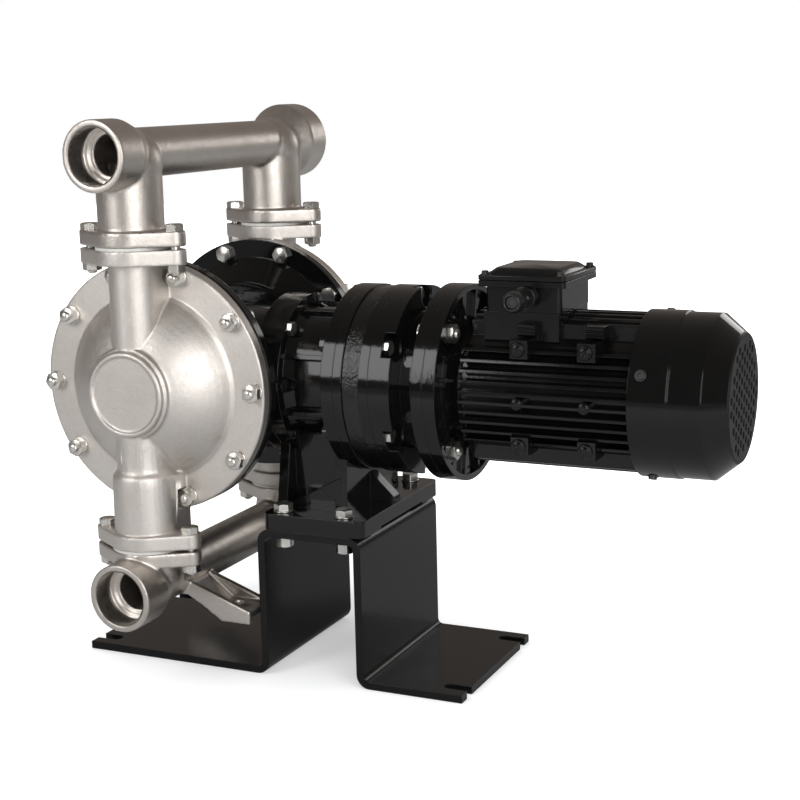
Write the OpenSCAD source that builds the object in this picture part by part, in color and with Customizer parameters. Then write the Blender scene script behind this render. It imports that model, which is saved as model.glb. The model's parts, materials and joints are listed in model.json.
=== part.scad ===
// Electric double diaphragm pump: geared motor, crankcase, two diaphragm chambers and two manifolds.
// X runs along the motor shaft towards the fan, Y along the diaphragm rods, Z up from the floor.

/* [Base bracket] */
// Height of the motor axis above the floor
axis_h = 306; // [296:1:330]
// Distance from the motor axis down to the gearbox foot's sole
foot_drop = 148; // [144:1:160]
// Thickness of the bent bracket plate
plate_t = 8; // [5:0.5:10]
// Length of the bracket across the motor
bracket_w = 192; // [184:1:220]
// Where the left end of the bracket's long flange lies
bracket_left = -116; // [-140:1:-90]
// Where the right end of the bracket's short flange lies
bracket_right = 327; // [300:1:350]
// Outer radius of the bracket's bends
bend_r = 14; // [12:1:18]
// Width of the open slots in the bracket's flanges
slot_w = 13; // [9:1:18]
// Depth of the open slots
slot_depth = 27; // [18:1:34]
// Distance from the bracket's edge to the middle of a slot
slot_edge = 20; // [14:1:34]

/* [Gearbox housing] */
// Where the gearbox foot starts along the shaft
foot_x = 108; // [106:1:112]
// Length of the gearbox foot along the shaft
foot_l = 114; // [110:1:116]
// Thickness of the gearbox foot
foot_t = 17; // [12:1:20]
// Distance from the foot's left end to its first bolts
foot_bolt_inset = 17; // [16.5:0.5:18]
// Distance between the foot bolts along the shaft
foot_bolt_x = 70; // [66:1:70]
// Distance from the bracket's edge to the foot bolts
foot_bolt_edge = 15; // [13:1:17]
// Radius of the foot bolts
foot_bolt_r = 5; // [4:0.5:5]
// Outer radius of the flange between crankcase and gearbox
joint_flange_r = 85; // [82:1:88]
// Outer radius of the gearbox neck
neck_r = 71; // [68:1:73]
// Outer radius of the reducer rings
ring_r = 97; // [95:1:99]
// Radius of the output shaft
out_shaft_r = 20; // [18:0.5:22]
// Outer radius of the output bearings
out_bearing_r = 40; // [36:1:44]
// Width of each output bearing
out_bearing_w = 18; // [14:1:18]

/* [Reducer] */
// Number of ring pins
ring_pins_n = 18; // [18:1:18]
// Radius of the circle of ring pins
ring_pin_circle = 74; // [73:0.5:75]
// Radius of a ring pin
ring_pin_r = 5; // [4.5:0.25:5.5]
// Eccentricity of the input eccentric
ecc = 2.5; // [2:0.1:2.7]
// Thickness of a cycloid disc
disc_t = 8; // [6:0.5:8]
// Number of output pins
out_pins_n = 8; // [6:2:8]
// Radius of the circle of output pins
out_pin_circle = 46; // [44:0.5:47]
// Radius of an output pin
out_pin_r = 7; // [5:0.5:7.5]
// Radius of the round eccentric that carries a disc
ecc_r = 20; // [18:0.5:21]

/* [Motor] */
// Outer radius of the motor flange
motor_flange_r = 100; // [98:1:102]
// Radius of the circle of flange bolts
flange_bolt_circle = 82.5; // [82:0.5:84]
// Thickness of the motor flange
motor_flange_t = 13; // [10:0.5:15]
// Length of the motor frame
frame_l = 173; // [160:1:186]
// Outer radius over the cooling fins
fin_r = 78; // [76:1:82]
// Outer radius of the frame's wall under the fins
frame_r = 66; // [64:1:68]
// Thickness of a cooling fin
fin_t = 3; // [2:0.25:4]
// Distance between cooling fins
fin_pitch = 10; // [8:0.5:12]
// Radius of the motor shaft
shaft_r = 12; // [10:0.5:14]
// Outer radius of the rotor
rotor_r = 38; // [34:1:40]
// Length of the rotor and stator cores
core_l = 105; // [90:1:115]
// Outer radius of the fan cover
cover_r = 81; // [80:0.5:84]
// Length of the fan cover up to its step
cover_lip_l = 37; // [34:1:42]
// Length of the fan cover from its step to its shoulder
cover_body_l = 32; // [28:1:38]
// Length of the fan cover's sloping end
cover_slope_l = 22; // [18:1:26]
// Wall of the fan cover
cover_wall = 2; // [1.5:0.25:3]
// Radius of the fan cover's flat end
cover_end_r = 61.5; // [58:0.5:64]
// Outer radius of the cooling fan
fan_r = 70; // [60:1:74]
// Width of the cooling fan
fan_w = 22; // [16:1:24]
// Radius of the air holes in the fan cover
air_hole_r = 4; // [2.5:0.25:4.5]

/* [Terminal box] */
// Length of the terminal box lid along the shaft
lid_l = 89; // [82:1:94]
// Width of the terminal box lid
lid_w = 100; // [90:1:104]
// Height of the lid's lower face above the motor axis
lid_h = 110; // [107:1:114]
// Thickness of the rims of the box and its lid
lid_rim_t = 5.5; // [4:0.5:7]
// Radius of the hole through the cable gland
gland_bore_r = 5.5; // [4:0.5:6]

/* [Chambers] */
// Outer radius of the chambers
chamber_r = 130; // [128:1:134]
// Distance from the pump's middle plane to the chamber joint
joint_y = 107; // [105:0.5:109]
// Thickness of a diaphragm
diaphragm_t = 3; // [2:0.5:4]
// Thickness of the outer chamber's rim
outer_rim_t = 12; // [10:0.5:13]
// Thickness of the inner chamber's rim
inner_rim_t = 10.5; // [9:0.5:12]
// Radius of the circle of chamber bolts
chamber_bolt_circle = 119; // [118:0.5:120]
// Number of chamber bolts
chamber_bolts_n = 10; // [10:1:10]
// Radius of the chamber bolts
chamber_bolt_r = 5; // [4:0.5:5]
// Radius of the edge where the dome meets the rim
dome_r = 95; // [92:1:98]
// Radius of the round boss on the dome
boss_r = 43.5; // [42:0.5:48]
// Distance from the middle plane to the boss's face
boss_y = 173; // [170:0.5:176]
// Distance from the middle plane to the valve legs
leg_y = 143; // [141:0.5:145]
// Outer radius of the chamber's upper neck
upper_neck_r = 25.5; // [24.5:0.5:27]
// Outer radius of the chamber's lower neck above its ball pocket
lower_neck_r = 27.5; // [26:0.5:29]
// Outer radius of the chamber's lower leg round its ball pocket
lower_leg_r = 34; // [33:0.5:34.5]

/* [Crank and rods] */
// Throw of the crank, half the stroke
throw = 8; // [5:0.5:9]
// Radius of the crank pin
crank_pin_r = 12; // [10:0.5:14]
// Outer radius of the roller on the crank pin
roller_r = 20; // [18:0.5:21]
// Thickness of the yoke along the shaft
yoke_t = 26; // [20:1:28]
// Radius of the push rods
rod_r = 12.5; // [10:0.5:13]
// Radius of the diaphragm plates
plate_r = 60; // [55:1:62]

/* [Manifolds and valves] */
// Distance from the top flange joint up to the top manifold's pipe
top_leg_h = 91.5; // [88:0.5:96]
// Distance from the bottom flange joint down to the bottom manifold's pipe
bottom_leg_h = 41.5; // [41:0.5:44]
// Outer radius of the manifold pipes
pipe_r = 25; // [24:0.5:26]
// Wall of the manifold pipes
pipe_wall = 4.5; // [3:0.5:6]
// Outer radius of the valve legs
leg_r = 33; // [32:0.5:34]
// Distance from the middle plane to the socket faces
socket_y = 202; // [198:0.5:206]
// Outer radius of the sockets
socket_r = 35; // [34:0.5:37]
// Outer radius of the large collar on the top manifold's rear end
collar_r = 42; // [38:0.5:44]
// Radius of the socket's thread at its crests, for a two inch pipe thread
thread_r = 28.3; // [28:0.1:29]
// Depth of the socket's thread
thread_depth = 24; // [18:1:28]
// Height of the top flange joint above the motor axis
top_joint_h = 145.5; // [143:0.5:148]
// Distance of the bottom flange joint below the motor axis
bottom_joint_h = 161.5; // [160:0.5:163]
// Gap between two joined flanges, filled by the valve seat
flange_gap = 3; // [2:0.25:4]
// Thickness of a flange plate
flange_t = 15; // [12:0.5:16]
// Distance between the two bolts of a flange
flange_bolt_span = 100; // [98:1:104]
// Radius of a flange's rounded ends
flange_end_r = 11; // [10:0.5:12]
// Radius of a flange's round middle
flange_mid_r = 38; // [37:0.5:40]
// Radius of a valve ball
ball_r = 20; // [18:0.5:21]
// How far a valve ball lifts
ball_lift = 12; // [8:0.5:13]
// Radius of the ball pockets
pocket_r = 25; // [24:0.5:26]
// Distance between the manifold's foot holes across the pipe
foot_hole_x = 140; // [134:1:146]
// Distance between the manifold's foot holes along the pipe
foot_hole_y = 172; // [168:1:176]
// Radius of the manifold's foot holes
foot_hole_r = 6.5; // [5:0.5:7]

/* [Hidden] */
$fn = 64;
fit = 0.05;
gap = 0.3;
slack = 1;
eps = 0.5;

// Bracket
arch_x0 = foot_x - 7;
arch_x1 = foot_x + foot_l - 3;
foot_z = axis_h - foot_drop;
bracket_end = bracket_w / 2;
slot_y = bracket_end - slot_edge;
foot_bolt_y = bracket_end - foot_bolt_edge;

// Gearbox and crankcase stations along the shaft
flange_plate_t = 16;
joint_x = 110;
neck_x = joint_x + flange_plate_t + 11;
ring1_x = 180.5;
ring1_t = 13.5;
mid_x = ring1_x + ring1_t;
mid_t = 9.5;
gear_x = mid_x + mid_t;
gear_t = 2 * disc_t + 2.6;
input_x = gear_x + gear_t;
input_t = 10.5;
adapter_x = input_x + input_t;
adapter_t = 12;
lobe_t = 11;
adapter_flange_x = adapter_x + adapter_t + 35.5;
adapter_flange_t = 12;
motor_x = adapter_flange_x + adapter_flange_t;
cavity_r = 58;
crank_wall = 14;
seat_gap = 4;
bearing2_x = ring1_x - 1.5 - out_bearing_w;
bearing1_x = bearing2_x - seat_gap - out_bearing_w;
carrier_x = ring1_x + 5;
carrier_t = mid_x + mid_t - 5 - carrier_x;
carrier_r = out_pin_circle + out_pin_r + 5;
disc_a_x = gear_x + 1;
disc_b_x = disc_a_x + disc_t + 0.6;
reducer_bolt_circle = ring_r - 9;
joint_bolt_circle = joint_flange_r - 7;
m8 = 4;
m10 = 5;

// Motor stations
frame_x = motor_x + motor_flange_t + 13;
frame_end = frame_x + frame_l;
core_x = frame_x + 27;
cover_x = frame_end - 2;
cover_step_x = cover_x + cover_lip_l;
cover_shoulder_x = cover_step_x + cover_body_l;
cover_end_x = cover_shoulder_x + cover_slope_l;
cover_screw_a = 68;
fan_x = frame_end + 20;
shaft_end = fan_x + fan_w + 2;
de_bearing_x = motor_x + 8;
bearing_w = 15;
bearing_r = 26;
nde_bearing_x = frame_end - 3 - bearing_w;
lid_x = frame_x + 13;
box_wall = 4;
box_l = lid_l - 12;
box_w = lid_w - 12;
box_z = fin_r + 2;
gland_x = lid_x + 49;
gland_z = lid_h - 15.3;
gland_r = 8;

// Chamber stations, measured outward from the middle plane
outer_face = joint_y + diaphragm_t / 2;
rim_face = outer_face + outer_rim_t;
inner_face = joint_y - diaphragm_t / 2;
inner_back = inner_face - inner_rim_t;
hub_face = 74;
floor_t = 10;
hub_r = joint_flange_r - 1;
crankcase_y = hub_face;
bush_r = rod_r + 5;
bush_start = hub_face - 14;
bush_end = hub_face + floor_t;
clamp_t = 8;
rod_end_r = rod_r - 4.5;
inner_plate_y = inner_face - clamp_t;
outer_plate_y = outer_face;
hub_h = 20;
yoke_win_y = roller_r + 2 * throw + 0.5;
yoke_win_z = roller_r + throw + slack;
yoke_y = yoke_win_y + 10;
yoke_z = yoke_win_z + 11;
roller_w = 28;
crank_x = 44;
web_t = 16;
web_r = 34;

// Flange and valve heights, measured from the motor axis
top_pipe_h = top_joint_h + top_leg_h;
bottom_pipe_h = bottom_joint_h + bottom_leg_h;
top_plate_z = top_joint_h + flange_gap / 2;
chamber_top_z = top_joint_h - flange_gap / 2;
bottom_plate_z = -bottom_joint_h - flange_gap / 2;
chamber_bottom_z = -bottom_joint_h + flange_gap / 2;
seat_edge = ball_r - 3;
seat_bore = seat_edge - 1;
seat_lip = 3;
ball_rise = sqrt(ball_r * ball_r - seat_edge * seat_edge) + gap;
top_ball_z = top_plate_z + seat_lip + ball_rise;
bottom_ball_z = chamber_bottom_z + seat_lip + ball_rise;
pocket_h = seat_lip + ball_rise + ball_r + ball_lift + 2;
lower_step_z = chamber_bottom_z + pocket_h + 26;
tee_dip = leg_r + slack - pipe_r + 1;
arm_drop = 46.5;
arm_w = 46;
arm_t = 8;
arm_x = 95;

// Placing helpers
module on_shaft(x) {
    translate([x, 0, axis_h]) rotate([0, 90, 0]) children();
}

module rear_side(y) {
    translate([0, y, axis_h]) rotate([-90, 0, 0]) children();
}

module front_side(y) {
    mirror([0, 1, 0]) rear_side(y) children();
}

module ring_of(n, r, start = 0) {
    for (i = [0 : n - 1]) rotate([0, 0, start + i * 360 / n]) translate([r, 0, 0]) children();
}

// Shapes
module tube(r_out, r_in, h) {
    difference() {
        cylinder(r = r_out, h = h);
        translate([0, 0, -eps]) cylinder(r = r_in, h = h + 2 * eps);
    }
}

module hex(r, h) {
    // A nut or bolt head for a thread of radius r
    cylinder(r = r * 1.96, h = h, $fn = 6);
}

module hex_bolt(r, grip) {
    // Head below the origin, shank up through the grip
    translate([0, 0, -1.4 * r]) hex(r, 1.4 * r);
    cylinder(r = r, h = grip);
}

module hex_nut(r, h) {
    difference() {
        hex(r, h);
        translate([0, 0, -eps]) cylinder(r = r + fit, h = h + 2 * eps);
    }
}

module washer(r, h) {
    tube(2 * r, r + fit, h);
}

module socket_screw(r, l) {
    difference() {
        union() {
            cylinder(r = 1.6 * r, h = 1.6 * r);
            translate([0, 0, -l]) cylinder(r = r, h = l);
        }
        translate([0, 0, 0.8 * r]) cylinder(r = 0.9 * r, h = r, $fn = 6);
    }
}

module rounded_plate(x, y, h, r) {
    translate([r - x / 2, -y / 2, 0]) cube([x - 2 * r, y, h]);
    translate([-x / 2, r - y / 2, 0]) cube([x, y - 2 * r, h]);
    for (i = [-1, 1], j = [-1, 1])
        translate([i * (x / 2 - r), j * (y / 2 - r), 0]) cylinder(r = r, h = h);
}

module bearing(r_out, r_in, w) {
    // Outer and inner ring with the ball row between them, as one closed unit
    difference() {
        cylinder(r = r_out - fit / 2, h = w);
        translate([0, 0, -eps]) cylinder(r = r_in + fit, h = w + 2 * eps);
        for (z = [-eps, w - 1.5]) translate([0, 0, z])
            tube(r_in + 0.68 * (r_out - r_in), r_in + 0.32 * (r_out - r_in), 1.5 + eps);
    }
}

function tangent_angle(big, small, span) = acos((big - small) / span);

module oval_outline(extra = 0) {
    // Outline of an oval two bolt flange: a round middle joined to two round ends by tangents
    half = flange_bolt_span / 2;
    big = flange_mid_r + extra;
    small = flange_end_r + extra;
    a = tangent_angle(big, small, half);
    circle(r = big);
    for (s = [-1, 1]) translate([s * half, 0]) circle(r = small);
    in_big = big - gap;
    in_small = small - gap;
    for (s = [-1, 1]) polygon([
        [0, 0],
        [s * in_big * cos(a), in_big * sin(a)],
        [s * (half + in_small * cos(a)), in_small * sin(a)],
        [s * (half + in_small * cos(a)), -in_small * sin(a)],
        [s * in_big * cos(a), -in_big * sin(a)]
    ]);
}

module oval_flange(z) {
    // Flange plate with its lower face at z, bolt holes included
    translate([0, 0, z]) difference() {
        linear_extrude(height = flange_t) oval_outline();
        for (s = [-1, 1]) translate([s * flange_bolt_span / 2, 0, -eps])
            cylinder(r = m10 + 0.5, h = flange_t + 2 * eps);
    }
}

// Base bracket
module bend(x, z, sx, sz) {
    // A quarter of a bent corner, its centre at x, z, opening away from sx, sz
    translate([x, 0, z]) rotate([90, 0, 0]) translate([0, 0, -bracket_end])
        intersection() {
            tube(bend_r, bend_r - plate_t, bracket_w);
            translate([sx > 0 ? 0 : -bend_r, sz > 0 ? 0 : -bend_r, 0])
                cube([bend_r, bend_r, bracket_w]);
        }
}

module slab(x0, x1, z0, z1) {
    translate([x0, -bracket_end, z0]) cube([x1 - x0, bracket_w, z1 - z0]);
}

module flange_slot(x_end, dir) {
    // An open slot, cut inward from the flange's end
    inner = x_end - dir * (slot_depth - slot_w / 2);
    for (s = [-1, 1]) translate([0, s * slot_y, -eps]) {
        translate([inner, 0, 0]) cylinder(r = slot_w / 2, h = plate_t + 2 * eps);
        translate([min(inner, x_end + dir * eps), -slot_w / 2, 0])
            cube([slot_depth - slot_w / 2 + eps, slot_w, plate_t + 2 * eps]);
    }
}

module at_foot_bolts() {
    for (i = [0, 1], s = [-1, 1])
        translate([foot_x + foot_bolt_inset + i * foot_bolt_x, s * foot_bolt_y, foot_z])
            children();
}

module base_bracket() {
    color([0.10, 0.10, 0.10]) difference() {
        union() {
            slab(arch_x0 + bend_r, arch_x1 - bend_r, foot_z - plate_t, foot_z);
            slab(arch_x0, arch_x0 + plate_t, bend_r, foot_z - bend_r);
            slab(arch_x1 - plate_t, arch_x1, bend_r, foot_z - bend_r);
            slab(bracket_left, arch_x0 + plate_t - bend_r, 0, plate_t);
            slab(arch_x1 - plate_t + bend_r, bracket_right, 0, plate_t);
            bend(arch_x0 + bend_r, foot_z - bend_r, -1, 1);
            bend(arch_x1 - bend_r, foot_z - bend_r, 1, 1);
            bend(arch_x0 + plate_t - bend_r, bend_r, 1, -1);
            bend(arch_x1 - plate_t + bend_r, bend_r, -1, -1);
        }
        flange_slot(bracket_left, -1);
        flange_slot(bracket_right, 1);
        at_foot_bolts() translate([0, 0, -plate_t - eps])
            cylinder(r = foot_bolt_r + 0.5, h = plate_t + 2 * eps);
    }
}

// Gearbox housing with its foot
module housing_profile() {
    // Outer outline of the housing about the shaft, radius against distance
    polygon([
        [0, joint_x], [joint_flange_r, joint_x], [joint_flange_r, joint_x + flange_plate_t],
        [neck_r + 4, joint_x + flange_plate_t], [neck_r, neck_x], [neck_r, ring1_x],
        [ring_r, ring1_x], [ring_r, mid_x], [0, mid_x]
    ]);
}

module pedestal_wall(x, t, foot_half, top_half) {
    // A cross wall of the pedestal, wider at its foot
    translate([x, 0, axis_h]) rotate([90, 0, 90]) linear_extrude(height = t) polygon([
        [-foot_half, -foot_drop + foot_t], [foot_half, -foot_drop + foot_t],
        [top_half, -neck_r * 0.7], [-top_half, -neck_r * 0.7]
    ]);
}

module pedestal_web(y0, y1, points) {
    // A web drawn in the X, Z plane between two distances across the shaft
    translate([0, y1, axis_h]) rotate([90, 0, 0]) linear_extrude(height = y1 - y0) polygon(points);
}

module gearbox_housing() {
    wall_x = foot_x + 68;
    top = -foot_drop + foot_t;
    color([0.08, 0.08, 0.08]) difference() {
        union() {
            on_shaft(0) rotate_extrude() housing_profile();
            translate([foot_x + foot_l / 2, 0, foot_z])
                rounded_plate(foot_l, bracket_w, foot_t, 8);
            pedestal_wall(foot_x + 2, 11, 66, 52);
            pedestal_wall(wall_x, 13, 63, 58);
            pedestal_web(-44, 44, [
                [foot_x + 4, top], [wall_x + 4, top], [wall_x + 4, -44], [foot_x + 4, -44]
            ]);
            for (s = [0, 1]) mirror([0, s, 0]) pedestal_web(40, 62, [
                [foot_x + 6, top], [wall_x + 6, top], [wall_x + 6, -96], [foot_x + 18, -126]
            ]);
            pedestal_web(-7, 7, [
                [wall_x + 4, top], [foot_x + foot_l - 4, top],
                [foot_x + foot_l - 6, top + 5], [wall_x + 4, mid_x - wall_x - ring_r - 13]
            ]);
            on_shaft(joint_x + flange_plate_t - 1) ring_of(8, neck_r - 3, 22.5)
                translate([0, -2.5, 0]) cube([10, 5, ring1_x - joint_x - flange_plate_t + 2]);
        }
        // Space for the crank web, the two bearing seats and the output carrier
        on_shaft(joint_x - eps) cylinder(r = cavity_r, h = bearing1_x - joint_x - 3 + eps);
        on_shaft(bearing1_x) cylinder(r = out_bearing_r, h = ring1_x - bearing1_x);
        on_shaft(joint_x) cylinder(r = out_shaft_r + 4, h = ring1_x - joint_x + eps);
        on_shaft(ring1_x - eps) cylinder(r = carrier_r + slack, h = ring1_t + 2 * eps);
        // Hollow under the pedestal and the relief under the foot
        translate([foot_x + 14, -36, foot_z - eps])
            cube([52, 72, foot_drop - neck_r - 22]);
        translate([foot_x - eps, -52, foot_z - eps]) cube([foot_l + 2 * eps, 104, 3]);
        at_foot_bolts() translate([0, 0, -eps])
            cylinder(r = foot_bolt_r + 0.5, h = foot_t + 2 * eps);
        on_shaft(joint_x - eps) ring_of(8, joint_bolt_circle)
            cylinder(r = m8 + 0.4, h = flange_plate_t + 2 * eps);
        on_shaft(joint_x + flange_plate_t) ring_of(8, joint_bolt_circle)
            cylinder(r = 1.96 * m8 + 1, h = 12);
        on_shaft(ring1_x - eps) ring_of(6, reducer_bolt_circle)
            cylinder(r = m8 + 0.4, h = ring1_t + 2 * eps);
        on_shaft(ring1_x - 10) ring_of(6, reducer_bolt_circle) cylinder(r = 1.96 * m8 + 1, h = 10);
    }
}

module foot_bolts() {
    color([0.72, 0.72, 0.70]) at_foot_bolts() {
        translate([0, 0, foot_t]) washer(foot_bolt_r, 2);
        translate([0, 0, foot_t + 2]) mirror([0, 0, 1])
            hex_bolt(foot_bolt_r, foot_t + 2 + plate_t + 14);
        translate([0, 0, -plate_t - 2]) washer(foot_bolt_r, 2);
        translate([0, 0, -plate_t - 12]) hex_nut(foot_bolt_r, 10);
    }
}

// Crankcase between the two inner chambers
module crankcase() {
    color([0.08, 0.08, 0.08]) difference() {
        union() {
            on_shaft(-cavity_r - crank_wall) cylinder(r = neck_r, h = joint_x + cavity_r + crank_wall);
            on_shaft(joint_x - flange_plate_t + 2) cylinder(r = joint_flange_r, h = flange_plate_t - 2);
            rear_side(-crankcase_y) cylinder(r = neck_r + 2, h = 2 * crankcase_y);
            for (y = [-crankcase_y, crankcase_y - 12]) rear_side(y) cylinder(r = hub_r, h = 12);
        }
        on_shaft(-cavity_r) cylinder(r = cavity_r, h = joint_x + cavity_r + eps);
        // Flats that keep the joint flange clear of the inner chambers
        for (s = [0, 1]) mirror([0, s, 0])
            translate([joint_x - flange_plate_t, joint_flange_r - 2.5, axis_h - neck_r])
                cube([flange_plate_t + eps, neck_r, 2 * neck_r]);
        rear_side(-hub_face + 8) cylinder(r = cavity_r, h = 2 * hub_face - 16);
        rear_side(-crankcase_y - eps) cylinder(r = bush_r, h = 2 * crankcase_y + 2 * eps);
        on_shaft(joint_x - flange_plate_t) ring_of(8, joint_bolt_circle)
            cylinder(r = m8 + fit, h = flange_plate_t + eps);
        for (s = [0, 1]) mirror([0, s, 0]) rear_side(hub_face - 14) ring_of(6, hub_r - 8, 30)
            cylinder(r = m8 + fit, h = 14 + eps);
    }
}

module crankcase_bolts() {
    color([0.72, 0.72, 0.70]) on_shaft(joint_x + flange_plate_t) ring_of(8, joint_bolt_circle)
        mirror([0, 0, 1]) hex_bolt(m8, 2 * flange_plate_t - 4);
}

// Cycloidal reducer
module plate_with_bolts(r, bore, t) {
    difference() {
        cylinder(r = r, h = t);
        translate([0, 0, -eps]) cylinder(r = bore, h = t + 2 * eps);
        translate([0, 0, -eps]) ring_of(6, reducer_bolt_circle) cylinder(r = m8 + 0.4, h = t + 2 * eps);
    }
}

module mid_plate() {
    color([0.08, 0.08, 0.08]) on_shaft(mid_x) plate_with_bolts(ring_r, carrier_r + slack, mid_t);
}

module ring_gear_housing() {
    color([0.08, 0.08, 0.08]) on_shaft(gear_x) difference() {
        plate_with_bolts(ring_r - 1.5, ring_pin_circle, gear_t);
        translate([0, 0, -eps]) ring_of(ring_pins_n, ring_pin_circle)
            cylinder(r = ring_pin_r + fit, h = gear_t + 2 * eps);
    }
}

module ring_pins() {
    color([0.75, 0.75, 0.75]) on_shaft(gear_x + fit) ring_of(ring_pins_n, ring_pin_circle)
        cylinder(r = ring_pin_r, h = gear_t - 2 * fit);
}

function lobe_angle(t) = atan2(
    sin((1 - ring_pins_n) * t),
    ring_pin_circle / (ecc * ring_pins_n) - cos((1 - ring_pins_n) * t)
);

function lobe_point(t, r) = [
    ring_pin_circle * cos(t) - r * cos(t + lobe_angle(t)) - ecc * cos(ring_pins_n * t),
    -ring_pin_circle * sin(t) + r * sin(t + lobe_angle(t)) + ecc * sin(ring_pins_n * t)
];

module cycloid_disc() {
    // One disc about its own centre, its lobes clear of the ring pins by the running gap
    steps = 14 * (ring_pins_n - 1);
    difference() {
        linear_extrude(height = disc_t)
            polygon([for (i = [0 : steps - 1]) lobe_point(i * 360 / steps, ring_pin_r + gap + fit)]);
        translate([0, 0, -eps]) cylinder(r = ecc_r + fit, h = disc_t + 2 * eps);
        translate([0, 0, -eps]) ring_of(out_pins_n, out_pin_circle)
            cylinder(r = out_pin_r + ecc + gap, h = disc_t + 2 * eps);
    }
}

module cycloid_disc_a() {
    color([0.60, 0.60, 0.62]) on_shaft(disc_a_x) translate([ecc, 0, 0]) cycloid_disc();
}

module cycloid_disc_b() {
    color([0.60, 0.60, 0.62]) on_shaft(disc_b_x) rotate([0, 0, 180]) translate([ecc, 0, 0]) cycloid_disc();
}

module eccentric_sleeve() {
    color([0.65, 0.65, 0.67]) on_shaft(0) difference() {
        union() {
            translate([ecc, 0, disc_a_x - 0.5]) cylinder(r = ecc_r, h = disc_t + 0.8);
            translate([-ecc, 0, disc_b_x - 0.3]) cylinder(r = ecc_r, h = disc_t + 0.5);
        }
        translate([0, 0, disc_a_x - 1]) cylinder(r = shaft_r, h = 2 * disc_t + 4);
    }
}

module input_plate() {
    color([0.08, 0.08, 0.08]) on_shaft(input_x) plate_with_bolts(ring_r, shaft_r + 2, input_t);
}

module motor_adapter() {
    // Cover of the reducer that also carries the motor's flange
    color([0.08, 0.08, 0.08]) difference() {
        union() {
            on_shaft(adapter_x) cylinder(r = ring_r, h = adapter_t + lobe_t);
            on_shaft(adapter_x + adapter_t) cylinder(r = neck_r + 1, h = 36);
            on_shaft(adapter_flange_x) cylinder(r = motor_flange_r, h = adapter_flange_t);
        }
        on_shaft(adapter_x - eps) cylinder(r = neck_r - 9, h = motor_x - adapter_x + 2 * eps);
        on_shaft(adapter_x - eps) ring_of(6, reducer_bolt_circle)
            cylinder(r = m8 + 0.4, h = adapter_t + 2 * eps);
        // Pockets round the clamping bolts
        on_shaft(adapter_x + adapter_t) ring_of(6, reducer_bolt_circle) {
            cylinder(r = 13, h = lobe_t + eps);
            translate([0, -13, 0]) cube([30, 26, lobe_t + eps]);
        }
        on_shaft(adapter_flange_x - eps) ring_of(4, flange_bolt_circle, 45)
            cylinder(r = m10 + 0.5, h = adapter_flange_t + 2 * eps);
        on_shaft(motor_x - 5) cylinder(r = 65.05, h = 5 + eps);
    }
}

module reducer_bolts() {
    grip = adapter_x + adapter_t - ring1_x;
    color([0.72, 0.72, 0.70]) on_shaft(adapter_x + adapter_t) ring_of(6, reducer_bolt_circle) {
        mirror([0, 0, 1]) hex_bolt(m8, grip + 10);
        translate([0, 0, -grip - 7]) hex_nut(m8, 7);
    }
}

module output_bearings() {
    color([0.75, 0.75, 0.76]) {
        on_shaft(bearing1_x) bearing(out_bearing_r, out_shaft_r, out_bearing_w);
        on_shaft(bearing2_x) bearing(out_bearing_r, out_shaft_r, out_bearing_w);
    }
}

module output_shaft() {
    // Slow shaft: the carrier with its output pins on one end, the crank's seat on the other
    color([0.65, 0.65, 0.67]) {
        on_shaft(crank_x + web_t + gap) cylinder(r = out_shaft_r, h = carrier_x - crank_x - web_t - gap);
        on_shaft(carrier_x) cylinder(r = carrier_r, h = carrier_t);
        on_shaft(carrier_x + carrier_t) ring_of(out_pins_n, out_pin_circle)
            cylinder(r = out_pin_r, h = disc_b_x + disc_t - carrier_x - carrier_t);
        on_shaft(crank_x - 4) cylinder(r = 10 - fit, h = web_t + 5);
    }
}

module crank() {
    // Web keyed to the slow shaft, with the offset crank pin
    color([0.55, 0.55, 0.57]) difference() {
        union() {
            on_shaft(crank_x) cylinder(r = web_r, h = web_t);
            translate([0, 0, throw]) {
                on_shaft(-roller_w / 2 - 5) cylinder(r = crank_pin_r, h = crank_x + roller_w / 2 + 6);
                on_shaft(-roller_w / 2 - 5) cylinder(r = crank_pin_r + 4, h = 4);
                on_shaft(roller_w / 2 + 1) cylinder(r = crank_pin_r + 4, h = crank_x - roller_w / 2 - 1);
            }
        }
        on_shaft(crank_x - 4) cylinder(r = 10, h = web_t + 5);
    }
}

module crank_roller() {
    color([0.75, 0.75, 0.76]) translate([0, 0, throw]) on_shaft(-roller_w / 2)
        bearing(roller_r, crank_pin_r, roller_w);
}

// Yoke, rods and diaphragms
module rod_yoke() {
    color([0.50, 0.50, 0.52]) translate([0, 0, axis_h]) difference() {
        translate([-yoke_t / 2, -yoke_y, -yoke_z]) cube([yoke_t, 2 * yoke_y, 2 * yoke_z]);
        translate([-yoke_t / 2 - eps, -yoke_win_y, -yoke_win_z])
            cube([yoke_t + 2 * eps, 2 * yoke_win_y, 2 * yoke_win_z]);
    }
}

module each_side(y) {
    rear_side(y) children();
    front_side(y) children();
}

module push_rods() {
    color([0.70, 0.70, 0.72]) each_side(yoke_y) {
        cylinder(r = rod_r, h = inner_plate_y - yoke_y);
        cylinder(r = rod_end_r, h = outer_plate_y + 12 - yoke_y);
    }
}

module inner_plates() {
    color([0.68, 0.68, 0.70]) each_side(inner_plate_y) difference() {
        union() {
            cylinder(r = plate_r, h = clamp_t / 2);
            cylinder(r = plate_r - 4, h = clamp_t);
        }
        translate([0, 0, -eps]) cylinder(r = rod_end_r + fit, h = clamp_t + 2 * eps);
    }
}

module outer_plates() {
    color([0.68, 0.68, 0.70]) each_side(outer_plate_y) difference() {
        union() {
            cylinder(r = plate_r, h = clamp_t - 1);
            cylinder(r = rod_end_r + 12, h = hub_h);
        }
        translate([0, 0, -eps]) cylinder(r = rod_end_r + fit, h = 13 + eps);
    }
}

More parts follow.
